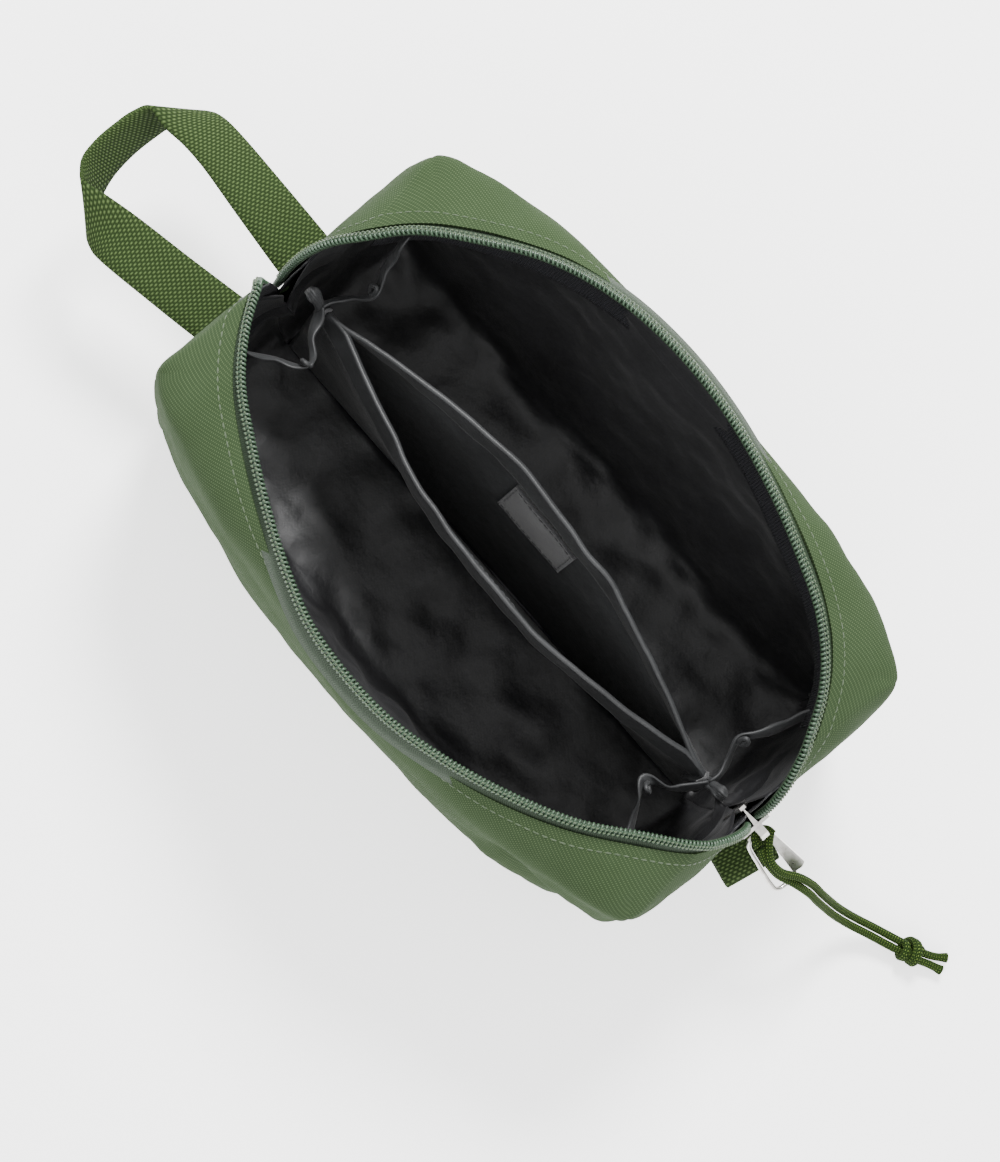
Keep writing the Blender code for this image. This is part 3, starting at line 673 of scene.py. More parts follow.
def bag_cage():
    """Points, faces, the panel of each face, cloth coordinates of each corner, and distance to the zip."""
    points, keys, faces, panels, cloth, across = [], {}, [], [], [], []

    def vertex(point, distance):
        key = tuple(round(float(c), 3) for c in point)
        if key not in keys:
            keys[key] = len(points)
            points.append(np.array(point, float))
            across.append(distance)
        return keys[key]

    def add_grid(grid, flats, distances, panel, flip):
        ids = [[vertex(p, d) for p, d in zip(row, near)] for row, near in zip(grid, distances)]
        for r in range(len(grid) - 1):
            for c in range(len(grid[0]) - 1):
                around = [(r, c), (r, c + 1), (r + 1, c + 1), (r + 1, c)]
                if flip:
                    around.reverse()
                faces.append([ids[i][j] for i, j in around])
                cloth.append([flats[i][j] for i, j in around])
                panels.append(panel)

    seam_rows = {}
    for panel, side in ((0, 1), (1, -1)):
        columns = [wall_column(side, u) for u in STATIONS]
        grid = [column for column, _ in columns]
        flats = [[(u * HALF_LENGTH, v) for v in down] for u, (_, down) in zip(STATIONS, columns)]
        add_grid(grid, flats, [down for _, down in columns], panel, side > 0)
        seam_rows[side] = [column[-1] for column in grid]
        for end, k in ((-1, 0), (1, -1)):
            column, down = columns[k]
            top, corner = column[:5], column[4:]
            rows, flat, near = [], [], []
            for row, up in enumerate(FLAP_UP):
                outer = corner[row]
                z = END_SEAM_Z + up * (top[0][2] - END_SEAM_Z)
                inner = down_point(side, end, z) + np.array([0, side * PANEL_EDGE, 0])
                inner[2] = z
                line = []
                for share in TOP_SHARES:
                    p = inner + (outer - inner) * share
                    p[0] += end * 1.6 * math.sin(math.pi * share) * math.sin(math.pi * up)
                    line.append(p)
                rows.append(top if row == 0 else line)
                flat.append([(end * (HALF_LENGTH + abs(outer[1] - p[1])), down[4 + row]) for p in rows[-1]])
                near.append([PANEL_EDGE + abs(p[1] - inner[1]) for p in rows[-1]])
            near[0] = down[:5]
            add_grid(rows, flat, near, panel, (side > 0) == (end < 0))
            seam_rows[side, end] = rows[-1]
    grid, flat = [], []
    rows = [("end", -1, 46.0), ("end", -1, 34.0)] + [("base", u, None) for u in STATIONS]
    rows += [("end", 1, 34.0), ("end", 1, 46.0)]
    far = 0.0
    for kind, u, z in rows:
        row = []
        if kind == "end":
            right = seam_rows[1, u]
            up = (z - LONG_SEAM_Z) / (END_SEAM_Z - LONG_SEAM_Z)
            corners = {side: corner_point(side, u, z) for side in (-1, 1)}
            for side in (-1, 1):
                half = []
                for k, p in enumerate(seam_rows[side, u]):
                    base_y = base_column_y(side, u, 4 - k)
                    y = base_y + (p[1] - base_y) * up
                    x = u * HALF_LENGTH + (p[0] - u * HALF_LENGTH) * up
                    half.append(p if z == 46.0 else np.array([x, y, z]))
                half[-1] = corners[side] if z != 46.0 else half[-1]
                row += half[::-1] if side < 0 else [np.array([half[0][0], 0.0, z]), *half]
        else:
            height = base_height(abs(u))
            for side in (-1, 1):
                half = []
                for k, (inset, side_z) in enumerate([*INSETS, (36.0, 0.0)]):
                    z_here = LONG_SEAM_Z - (LONG_SEAM_Z - height) * (LONG_SEAM_Z - side_z) / LONG_SEAM_Z
                    half.append(np.array([u * HALF_LENGTH, base_column_y(side, u, k), z_here]))
                half[0] = seam_rows[side][STATIONS.index(u)]
                row += half if side < 0 else [np.array([half[-1][0], 0.0, half[-1][2]]), *half[::-1]]
        if grid:
            far += float(np.linalg.norm(row[5] - grid[-1][5]))
        grid.append(row)
        flat.append([(far, float(p[1])) for p in row])
    add_grid(grid, flat, [[60.0] * len(row) for row in grid], 2, False)
    return points, faces, panels, cloth, across


def base_column_y(side, u, k):
    inset = [*INSETS, (36.0, 0.0)][k][0]
    return side * (half_width(BASE_HALF, side, u * HALF_LENGTH) - inset)


def base_height(u):
    """How high the base's edge stands at a station near an end."""
    x = u * HALF_LENGTH
    for inset, z in INSETS:
        if abs(x - (HALF_LENGTH - inset)) < 0.01:
            return z
    return 0.0


def round_corners(points, radius):
    """Turns the square corners, seen from above, into round ones."""
    for p in points:
        end, side = (1 if p[0] > 0 else -1), (1 if p[1] > 0 else -1)
        up = min(1.0, max(0.0, (p[2] - LONG_SEAM_Z) / (CORNER_TOP_Z - LONG_SEAM_Z)))
        limit = np.abs(corner_point(side, end, p[2]))
        dx, dy = abs(p[0]) - (limit[0] - radius), abs(p[1]) - (limit[1] - radius)
        if dx <= 0 or dy <= 0:
            continue
        far = max(dx, dy)
        angle = math.pi / 4 * (dy / dx if dy < dx else 2 - dx / dy)
        ease = 1.0 - 0.35 * up
        rounded_x = limit[0] - radius + far * math.cos(angle)
        rounded_y = limit[1] - radius + far * math.sin(angle)
        p[0] = end * (abs(p[0]) + (rounded_x - abs(p[0])) * ease)
        p[1] = side * (abs(p[1]) + (rounded_y - abs(p[1])) * ease)


def base_downwards(mesh):
    lowest = min(mesh.faces, key=lambda f: f.calc_center_median().z)
    if lowest.normal.z > 0:
        turn_over(mesh)


SUBDIVISIONS = 3


def bag_surface():
    points, faces, panels, cloth, across = bag_cage()
    obj = mesh_object("bag", points, faces, FINISH["fabric"])
    data = obj.data
    layer = data.uv_layers.new(name="cloth")
    for polygon, flat in zip(data.polygons, cloth):
        for loop, uv in zip(polygon.loop_indices, flat):
            layer.data[loop].uv = uv
    near = data.attributes.new("across", "FLOAT", "POINT")
    near.data.foreach_set("value", np.array(across, np.float32))
    for word in ("one", "two"):
        data.materials.append(bpy.data.materials.new("panel_" + word))
    data.polygons.foreach_set("material_index", np.array(panels, np.int32))
    edit_mesh(obj, face_outwards, base_downwards)
    fine = obj.modifiers.new("fine", "SUBSURF")
    fine.levels = fine.render_levels = SUBDIVISIONS
    fine.uv_smooth = "PRESERVE_CORNERS"
    applied(obj)
    co = coordinates(obj)
    round_corners(co, 9.0)
    put_coordinates(obj, co)
    return obj


def coordinates(obj):
    co = np.zeros(len(obj.data.vertices) * 3, np.float32)
    obj.data.vertices.foreach_get("co", co)
    return co.reshape(-1, 3).astype(float) / MM


def put_coordinates(obj, co):
    obj.data.vertices.foreach_set("co", (co * MM).astype(np.float32).ravel())
    obj.data.update()


def normals_of(obj):
    found = np.zeros(len(obj.data.vertices) * 3, np.float32)
    obj.data.vertex_normals.foreach_get("vector", found)
    return found.reshape(-1, 3).astype(float)


def attribute_of(obj, name):
    found = np.zeros(len(obj.data.vertices), np.float32)
    obj.data.attributes[name].data.foreach_get("value", found)
    return found.astype(float)


def panel_part(source, name, finish, index=None, test=None):
    """A copy of the faces of one panel, or of the faces whose middles pass a test."""
    mesh = bmesh.new()
    mesh.from_mesh(source.data)
    gone = [f for f in mesh.faces
            if (index is not None and f.material_index != index)
            or (test is not None and not test(f.calc_center_median() / MM))]
    bmesh.ops.delete(mesh, geom=gone, context="FACES")
    for face in mesh.faces:
        face.material_index = 0
    data = bpy.data.meshes.new(name)
    mesh.to_mesh(data)
    mesh.free()
    data.materials.append(finish)
    data.shade_smooth()
    return placed(name, data)


def soft_noise(p, size, seed=0.0):
    return noise.noise(Vector((p[0] / size + seed, p[1] / size - seed, p[2] / size + 2 * seed)))


def fabric_rise(p, near):
    """How far the outer fabric stands off its smooth shape: slack, seam puckers and a few folds."""
    free = min(1.0, max(0.0, (near - 9.0) / 14.0))
    rise = free * (1.5 * soft_noise(p, 38.0, 3.1) + 0.8 * soft_noise(p, 17.0, 8.4))
    rise += 0.25 * free * soft_noise(p, 7.0, 1.7)
    seam = math.exp(-((p[2] - LONG_SEAM_Z) / 9.0) ** 2) if abs(p[1]) > 46 else 0.0
    seam += math.exp(-((p[2] - END_SEAM_Z) / 9.0) ** 2) if abs(p[0]) > 108 else 0.0
    pucker = soft_noise((p[0], p[1], 0.0), 7.0, 5.5) + 0.6 * soft_noise((p[0], p[1], 0.0), 15.0, 9.0)
    rise += seam * 1.3 * pucker
    edge = math.exp(-((near - 6.0) / 4.0) ** 2)
    rise += edge * 0.35 * soft_noise(p, 11.0, 4.2)
    return rise


def seam_dent(p):
    """The groove along the two seam lines."""
    if abs(p[1]) > 46 and abs(p[0]) < 112:
        return -0.9 * math.exp(-((p[2] - LONG_SEAM_Z) / 1.3) ** 2)
    if abs(p[0]) > 106:
        return -0.9 * math.exp(-((p[2] - END_SEAM_Z) / 1.3) ** 2)
    return 0.0


FABRIC_THICK, LINING_THICK = 1.1, 0.4
# Folds in the outer fabric: points along each, and (height, half width); a negative height is a dent
CREASES = [
    ([(70, -72, 84), (84, -67, 68), (98, -57, 52)], (-5.0, 4.0)),
    ([(66, -70, 70), (78, -68, 58), (88, -62, 44)], (2.2, 6.0)),
    ([(88, -66, 82), (98, -62, 72), (106, -56, 60)], (2.0, 5.5)),
    ([(60, 70, 100), (82, 66, 92), (98, 60, 80)], (1.6, 6.0)),
    ([(70, 70, 92), (88, 66, 84), (104, 60, 76)], (-2.2, 5.0)),
    ([(-60, -68, 80), (-80, -66, 66), (-98, -62, 58)], (1.2, 8.0)),
    ([(-20, -72, 60), (20, -70, 52), (60, -66, 60)], (1.0, 9.0)),
    ([(-96, 58, 88), (-104, 52, 70), (-110, 46, 54)], (-1.2, 5.0)),
]


def make_outer_fabric(surface):
    """The two side panels and the bottom panel, with their slack, seams and turned edges."""
    co, out = coordinates(surface), normals_of(surface)
    near = attribute_of(surface, "across")
    shaped = np.array([p + n * (fabric_rise(p, d) + seam_dent(p)) for p, n, d in zip(co, out, near)])
    for crease, shape in CREASES:
        shaped = crease_along(shaped, out, crease, shape)
    shaped[:, 2] = np.maximum(shaped[:, 2], 0.1)
    put_coordinates(surface, shaped)
    for index, name, node, side in ((0, "fabric_side_right", "side_panel_right", 1),
                                    (1, "fabric_side_left", "side_panel_left", -1),
                                    (2, "fabric_bottom", "bottom_panel", None)):
        obj = panel_part(surface, name, FINISH["fabric"], index=index)
        thicken(obj, FABRIC_THICK)
        obj.data.set_sharp_from_angle(angle=math.radians(60))
        declare(obj, node, None if side else "pouch")
        if side:
            bend_with_mouth(obj)


def crease_along(points, out, line, shape):
    height, wide = shape
    line = spline(line, 3.0)
    apart = np.min(np.linalg.norm(points[:, None, :] - line[None, :, :], axis=2), axis=1)
    return points + out * (height * np.exp(-((apart / wide) ** 2)))[:, None]


def bend_with_mouth(obj):
    """Bakes the piece's placement into its mesh."""
    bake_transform(obj)


# ---------------------------------------------------------------- strips along the zip


def zip_frame(side, spacing=1.0):
    """The coil's line with, at each point, the way towards the panel and the way out of the cloth."""
    up = DOWN_LINES[side, -1][::-1]
    line = np.vstack([up, MOUTH_LINES[side][1:-1], DOWN_LINES[side, 1]])
    line = smooth_line(resampled(line, spacing), 6)
    tangent = tangents(line)
    across = unit(np.array([[0.0, side * 1.0, -0.10 - 0.45 * openness(p[0])] for p in line]))
    across -= np.sum(across * tangent, axis=1, keepdims=True) * tangent
    across = unit(across)
    return line, across, np.cross(tangent, across) * side


def smooth_line(line, times):
    line = line.copy()
    for _ in range(times):
        line[1:-1] = (line[:-2] + 2 * line[1:-1] + line[2:]) / 4
    return line


def zip_tape(side, word):
    """The tape under the coil, folded down a little where it goes under the panel."""
    profile = np.array([(-0.6, -0.7), (2.0, -0.6), (4.0, -0.75), (6.5, -1.6)])
    line, across, out = zip_frame(side, 1.5)
    width = lengths(profile)
    points, cloth = [], []
    for p, a, o, s in zip(line, across, out, lengths(line)):
        for (da, do), w in zip(profile, width):
            points.append(p + a * da + o * do)
            cloth.append((s, w))
    tape = layer("zip_tape_cloth_" + word, points, len(profile), FINISH["tape"], cloth, 0.5)
    declare(tape, "zip_tape_" + word)
    bend_with_mouth(tape)


COIL_PITCH = 1.5


def make_coil(side, word):
    """The nylon spiral: a flattened helix of one filament round a core along the zip."""
    line, across, out = zip_frame(side, 0.5)
    along = lengths(line)
    at = np.linspace(0, along[-1], int(along[-1] / COIL_PITCH * 14))
    where, a, o = sampled(line, along, at), unit(sampled(across, along, at)), unit(sampled(out, along, at))
    angle = 2 * math.pi * at / COIL_PITCH
    flat = np.sign(np.cos(angle)) * np.abs(np.cos(angle)) ** 0.7
    helix = where + a * (0.15 + 1.3 * flat)[:, None] + o * (0.5 + 0.8 * np.sin(angle))[:, None]
    spiral = tube("zip_coil_spiral_" + word, helix, 0.44, FINISH["coil"], sides=6)
    declare(spiral, "zip_coil_" + word)
    bend_with_mouth(spiral)
    middle = where + a * 0.15 + o * 0.45
    core = declare(tube("zip_coil_core_" + word, middle[::10], 0.62, FINISH["coil"], sides=8))
    bend_with_mouth(core)


def stitches(name, line, out, length, gap, radius, finish, sink=0.0):
    """A run of short stitches lying on a line, as one piece."""
    along = lengths(line)
    points, faces, cloth = [], [], []
    sides, rings = 6, ((0.0, 0.35), (0.15, 0.85), (0.5, 1.0), (0.85, 0.85), (1.0, 0.35))
    s = 0.0
    while s + length < along[-1]:
        start = len(points)
        for share, thick in rings:
            at = s + length * share
            p, o = sampled(line, along, at), unit(sampled(out, along, at))
            b = np.cross(unit(sampled(line, along, at + 0.3) - sampled(line, along, at - 0.3)), o)
            lift = radius * (0.25 + 0.75 * math.sin(math.pi * share)) - sink
            for j in range(sides):
                angle = 2 * math.pi * j / sides
                way = b * math.cos(angle) + o * math.sin(angle)
                points.append(p + o * lift + way * radius * thick)
                cloth.append((at, angle))
        faces += grid_faces(len(rings), sides, start, closed=True) + end_caps(start, len(rings), sides)
        s += length + gap
    return declare(mesh_object(name, points, faces, finish, cloth))


def on_surface(tree, points, lift):
    """Each point moved to the nearest place on a surface, then lifted off it."""
    found, ways = [], []
    for p in points:
        place, normal, _, _ = tree.find_nearest(Vector(p) * MM)
        found.append(np.array(place) / MM + np.array(normal) * lift)
        ways.append(np.array(normal))
    return np.array(found), np.array(ways)


def make_zip(side, word, tree):
    """The tape and coil of one side, with the stitches that hold them and the topstitch in the panel."""
    zip_tape(side, word)
    make_coil(side, word)
    line, across, out = zip_frame(side)
    keep = slice(6, -4)
    for k, at in enumerate((-0.35, 0.75)):
        row = stitches(f"coil_stitch_{word}_{k}", (line + across * at + out * 1.7)[keep], out[keep],
                       0.95, 0.55, 0.24, FINISH["thread"])
        bend_with_mouth(row)
    edge, ways = on_surface(tree, (line + across * (PANEL_EDGE + 3.2))[keep], 0.0)
    row = stitches("topstitch_" + word, smooth_line(edge, 4), ways, 2.3, 0.7, 0.26, FINISH["seam_thread"],
                   sink=0.2)
    bend_with_mouth(row)


FACING_WIDE, FACING_COLUMNS = 20.0, 10
FACING_LEAN = {1: 0.24, -1: 0.42}


def make_facing(side, word):
    """The ribbed tape that binds the inside of the zip, hanging a little in from the panel."""
    line, across, out = zip_frame(side, 1.5)
    step = FACING_WIDE / FACING_COLUMNS
    points, cloth = [], []
    for p, a, o, s in zip(line, across, out, lengths(line)):
        point = p + a * 1.4 - o * 1.4
        on_end = abs(p[0]) > 104 and p[2] < 96
        if on_end and abs(p[1]) < 9:
            point[0] -= math.copysign(0.7, p[0])
            point[1] -= side * min(3.8, abs(point[1]) + 0.2)
        m = openness(p[0]) if p[2] > 93 else 0.0
        fall = unit((0.0, side * 1.0, -0.15) if on_end else (0.0, -side * FACING_LEAN[side] * m, -1.0))
        first = unit(a - o * 0.8)
        sway = np.array([0.0, -side, 0.0]) * 0.18 * soft_noise((s, 0, 0), 30.0, 2.5 + side) * m
        for c in range(FACING_COLUMNS + 1):
            curl = math.sin(math.pi * c / FACING_COLUMNS / 2)
            if c:
                way = fall if on_end else unit(first * (1 - curl) + fall * curl)
                point = point + way * step + sway * curl
            points.append(point)
            cloth.append((s, step * c))
    tape = layer("zip_facing_tape_" + word, points, FACING_COLUMNS + 1, FINISH["grosgrain"], cloth, 0.5)
    declare(tape, "zip_facing_" + word)
    bend_with_mouth(tape)


# ---------------------------------------------------------------- lining


def lining_depth(p, near):
    """How far the lining lies inside the outer fabric: slack cloth in soft upright folds."""
    loose = min(1.0, max(0.0, (near - 14.0) / 20.0))
    fold = soft_noise((p[0], p[1], p[2] * 0.25), 13.0, 6.2)
    crumple = soft_noise(p, 9.0, 2.2)
    shallow = 3.4 * max(0.0, 1 - max(0.0, near - 5.0) / 12.0)
    return 5.2 - shallow + loose * (1.7 + 2.2 * fold + 0.8 * crumple + 2.0 * soft_noise(p, 45.0, 7.7))


SLOT_REACH = 15.0  # how far from the middle the lining is drawn in, across
SLOT_FOOT, SLOT_TOP, SLOT_FADE = 44.0, 72.0, 9.0  # and between which heights


def close_end_slot(p):
    """The two halves of the lining meet below the zip's ends, behind the slider."""
    end, side = (1 if p[0] > 0 else -1), (1 if p[1] > 0 else -1)
    if abs(p[0]) < 100.0 or abs(p[1]) > SLOT_REACH or not SLOT_FOOT < p[2] < SLOT_TOP:
        return
    edge = abs(down_point(side, end, p[2])[1]) + PANEL_EDGE - 0.4
    share = min(1.0, max(0.0, (abs(p[1]) - edge) / (SLOT_REACH - edge)))
    closed = min(1.0, (SLOT_TOP - p[2]) / SLOT_FADE)
    p[1] += (side * SLOT_REACH * share - p[1]) * closed
    p[0] -= end * 5.0 * (1 - share) ** 2 * closed


def make_lining(surface):
    """The lining follows the outer fabric a little way in, made as two halves."""
    co, out = coordinates(surface), normals_of(surface)
    near = attribute_of(surface, "across")
    inner = np.array([p - n * lining_depth(p, d) for p, n, d in zip(co, out, near)])
    inner[:, 2] = np.maximum(inner[:, 2], 4.0)
    for p in inner:
        close_end_slot(p)
    put_coordinates(surface, inner)
    edit_mesh(surface, turn_over)
    for side, word in SIDES:
        half = panel_part(surface, "lining_" + word, FINISH["lining"], test=lambda c, s=side: c.y * s > 0)
        thicken(half, LINING_THICK)
        declare(half, "lining")
        bend_with_mouth(half)


def wavy_band(name, line, wide, thickness, wave, seed):
    """A bound seam allowance: a narrow band that stands off its line, waving a little."""
    line = spline(line, 1.2)
    wide = np.array(wide, float)
    points, cloth = [], []
    other = unit(np.cross(tangents(line), wide))
    for p, s, o in zip(line, lengths(line), other):
        for share in (0.0, 0.25, 0.5, 0.75, 1.0):
            lean = wave * share * soft_noise((s, 0, 0), 9.0, seed)
            points.append(p + wide * share + o * lean)
            cloth.append((s, share * float(np.linalg.norm(wide))))
    return declare(layer(name, points, 5, FINISH["divider"], cloth, thickness))


# Where the strips of seam allowance from each gathered end bunch up, and where they meet the walls
BUNCHES = {
    1: [((93.5, 12.8, 71.0), (101.0, 31.5, 79.0)), ((84.0, -19.4, 70.0), (98.0, -44.0, 68.0))],
    -1: [((-91.5, 19.0, 71.0), (-97.0, 33.0, 83.0)), ((-87.5, -12.0, 70.0), (-103.0, -25.0, 76.0))],
}


def make_bindings():
    """Strips of bound seam allowance that droop from the gathered ends to the walls."""
    for end, word in ENDS:
        x, y, z = GATHER[end]
        strips = []
        for k, (bunch, wall) in enumerate(BUNCHES[end]):
            bunch, wall = np.array(bunch), np.array(wall)
            start = np.array([x + end * 0.5, y, z - 1.5])
            sag = np.array([end * 1.5, 0, -3.5])
            line = [start, (start + bunch) / 2 + sag, bunch, (bunch + wall) / 2 + sag * 0.8, wall,
                    wall + (wall - bunch) * 0.25]
            strips.append(wavy_band(f"strip_{k}", line, (-end * 2.4, 0.0, 3.6), thickness=0.7, wave=3.2,
                                    seed=end * 3.0 + k))
            toward = unit(wall - bunch)
            knot = [bunch - toward * 1.2 + (0, 0, 1.0), bunch + (-end * 0.8, 0, 3.4),
                    bunch + toward * 1.6 + (-end * 0.4, 0, 4.8), bunch + toward * 1.0 + (end * 1.4, 0, 2.2),
                    bunch - toward * 0.6 + (end * 0.6, 0, 0.6)]
            strips.append(tube(f"bunch_{k}", spline(knot, 0.6), 0.75, FINISH["divider"], sides=8))
        both = joined(f"seam_allowance_{word}_end", strips)
        declare(both, f"end_binding_{word}_end", "pouch")
        for side, hand in SIDES:
            foot = side * (half_width(BASE_HALF, side, end * 104) - 7.0)
            line = [(end * 104.5, foot, 26), (end * 104, foot, 46), (end * 102, foot - side * 1, 62),
                    (end * 100, foot - side * 2, 74)]
            band = wavy_band(f"corner_allowance_{word}_{hand}", line, (-end * 4.0, -side * 4.0, 0),
                             thickness=0.9, wave=1.8, seed=end + 5.0 * side)
            declare(band, f"corner_binding_{word}_{hand}", "pouch")


# ---------------------------------------------------------------- the divider pocket

# A leaf's foot, half its flat length, its flat depth with the hem's turning, and that depth as made up
LEAF_FOOT_Z, LEAF_HALF, LEAF_DEEP, LEAF_UP = 7.5, 102.0, 71.0, 70.0
LEAF_BOW = {-1: 19.5, 1: 15.5}  # how far each leaf's hem bows out at mid-length
GATHER = {-1: (-100.0, 4.6, 66.0), 1: (98.0, -2.6, 66.0)}  # where the two leaves meet at each end


def leaf_surface(side, share, up):
    """A point of a leaf, from one gathered end to the other and from its foot to its hem."""
    x0, x1 = GATHER[-1][0], GATHER[1][0]
    x = x0 + (x1 - x0) * share
    middle = GATHER[-1][1] + (GATHER[1][1] - GATHER[-1][1]) * share
    along = max(0.0, 1 - (2 * share - 1) ** 2)
    top = 61.0 + 18.0 * along**0.8
    z = LEAF_FOOT_Z + (top - LEAF_FOOT_Z) * up
    bow = LEAF_BOW[side] * along**1.25 * up**1.2
    near_end = math.exp(-(min(share, 1 - share) / 0.10) ** 2)
    pleat = near_end * up * 1.6 * math.sin(up * 9.0 + side)
    slack = along * up * (1.6 * soft_noise((x, z, side * 20.0), 26.0, 1.1)
                          + 0.7 * soft_noise((x, z, side * 20.0), 10.0, 3.3))
    y = middle * up + side * (0.8 + bow) + pleat + slack
    folded = max(0.0, (up - 0.87) / 0.13) * min(1.0, 4 * along)
    y += 3.6 * folded if side < 0 else -1.2 * folded
    return np.array([x, y, z])


def leaf_grid(side, shares, ups):
    return [leaf_surface(side, share, up) for share in shares for up in ups]


def sway_with_divider(obj):
    """Bakes the piece's placement into its mesh; leaves are sewn in at both ends."""
    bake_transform(obj)


def make_leaf(side, word):
    """A leaf of the divider with its thicker hem, and the two rows of stitches under the hem."""
    shares = np.linspace(0, 1, 121)
    for kind, ups, thickness in (("cloth", np.linspace(0, 1, 41), 0.5),
                                 ("hem", np.linspace(0.88, 1.008, 9), 1.7)):
        cloth = [(s * 2 * LEAF_HALF, u * LEAF_UP) for s in shares for u in ups]
        piece = layer(f"divider_{kind}_{word}", leaf_grid(side, shares, ups), len(ups), FINISH["divider"],
                      cloth, thickness)
        declare(piece)
        sway_with_divider(piece)
    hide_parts("divider_leaf_" + word)
    line = np.array(leaf_grid(side, np.linspace(0.03, 0.97, 120), [0.865]))
    way = np.tile([0.0, -side * 1.0, 0.3], (len(line), 1))
    for k, face in enumerate((-1, 1)):
        row = stitches(f"hem_stitch_{word}_{k}", line - way * 0.35 * face, unit(way) * face, 2.2, 0.8, 0.22,
                       FINISH["dark_thread"])
        sway_with_divider(row)


def make_patch(side, word, node):
    """The touch fastening on the inner face of a leaf, with its stitched outline."""
    long = GATHER[1][0] - GATHER[-1][0]
    middle, half = (0 - GATHER[-1][0]) / long, 15.0 / long
    shares = np.linspace(middle - half, middle + half, 25)
    ups = np.linspace(0.60, 0.85, 15)
    inward = np.array([0, -side * 1.0, 0.3])
    lifted = [p + inward * 0.75 for p in leaf_grid(side, shares, ups)]
    cloth = [(s * 200.0, u * LEAF_UP) for s in shares for u in ups]
    patch = layer(f"{word}_fastening", lifted, len(ups), FINISH[word], cloth, 1.1)
    declare(patch, node)
    sway_with_divider(patch)
    left, right = shares[0] + half * 0.08, shares[-1] - half * 0.08
    low, high = ups[0] + 0.02, ups[-1] - 0.02
    corners = [(left, low), (right, low), (right, high), (left, high)]
    outline = []
    for (s0, u0), (s1, u1) in zip(corners, corners[1:] + corners[:1]):
        for t in np.linspace(0, 1, 14, endpoint=False):
            outline.append(leaf_surface(side, s0 + (s1 - s0) * t, u0 + (u1 - u0) * t))
    way = np.tile(unit(inward), (len(outline), 1))
    row = stitches(f"{word}_fastening_stitch", np.array(outline) + way * 1.5, way, 1.9, 0.7, 0.22,
                   FINISH["dark_thread"])
    sway_with_divider(row)


def make_gathers():
    """The bunched ends of the leaves, where they are sewn into the end seams."""
    for end, word in ENDS:
        x, y, z = GATHER[end]
        pieces = []
        for k in range(7):
            fan = (k - 3) / 3
            line = [(x - end * 8, y + fan * 3.0, z - 14 + 2 * abs(fan)), (x - end * 3, y + fan * 1.5, z - 4),
                    (x + end * 0.5, y + fan * 1.0, z + 2.6 - abs(fan)),
                    (x + end * 3.6, y + fan * 1.7, z + 6.5 - 2.0 * abs(fan)),
                    (x + end * 5.6, y + fan * 1.2, z + 5.0 - 3 * abs(fan))]
            path = spline(line, 1.0)
            wobble = np.array([[0.5 * soft_noise((s, k, 0), 3.0), 0.5 * soft_noise((s, 0, k), 3.0, 4.0), 0]
                               for s in range(len(path))])
            share = np.linspace(0, 1, len(path))
            radii = 0.4 + 0.6 * np.sin(math.pi * share) ** 0.6
            pieces.append(tube(f"pleat_{k}", path + wobble, radii, FINISH["divider"], sides=8))
        obj = joined(f"divider_gather_{word}_end", pieces)
        declare(obj, body="pouch")
        path = spline([(x - end * 3.5, y - 2.2, z - 3), (x - end * 3.0, y, z + 0.6),
                       (x - end * 3.5, y + 2.2, z - 3)], 0.8)
        tack = tube(f"gather_bar_tack_{word}_end", path, 0.7, FINISH["dark_thread"], sides=8)
        declare(tack, body="pouch")


# ---------------------------------------------------------------- webbing

WEBBING_WIDE, WEBBING_THICK = 20.0, 1.5

# The handle's inner and outer selvedges, from its root on side 1 round to its root on side -1. It creases
# slantwise at both corners of the far end, where the inner selvedge rises and passes over the outer one.
HANDLE = [
    ((-113.6, 5.3, 45.8), (-113.6, 25.3, 45.8)),
    ((-119.0, 5.5, 46.2), (-118.5, 25.4, 46.0)),
    ((-141.0, 7.1, 49.0), (-139.5, 26.0, 45.0)),
    ((-160.0, 8.6, 51.2), (-158.5, 26.4, 43.8)),
    ((-168.5, 8.2, 53.0), (-166.5, 26.0, 43.3)),
    ((-176.5, 6.8, 55.8), (-171.0, 24.4, 43.0)),
    ((-183.6, 6.9, 58.0), (-173.6, 21.5, 42.8)),
    ((-186.0, 1.5, 58.6), (-176.4, 13.4, 42.0)),
    ((-186.6, -5.5, 58.8), (-177.5, 4.4, 41.5)),
    ((-186.6, -12.5, 58.6), (-177.6, -5.0, 41.5)),
    ((-185.4, -19.4, 58.0), (-176.0, -15.4, 41.8)),
    ((-182.6, -23.0, 57.0), (-171.6, -25.6, 42.6)),
    ((-179.2, -24.4, 55.6), (-166.0, -33.8, 43.8)),
    ((-172.0, -21.6, 52.6), (-162.4, -35.8, 44.8)),
    ((-162.0, -18.4, 49.4), (-157.5, -36.0, 45.4)),
    ((-140.0, -13.6, 47.0), (-137.6, -32.8, 46.0)),
    ((-119.0, -9.0, 46.2), (-118.5, -29.2, 46.0)),
    ((-113.6, -7.6, 45.8), (-113.6, -27.8, 45.8)),
]


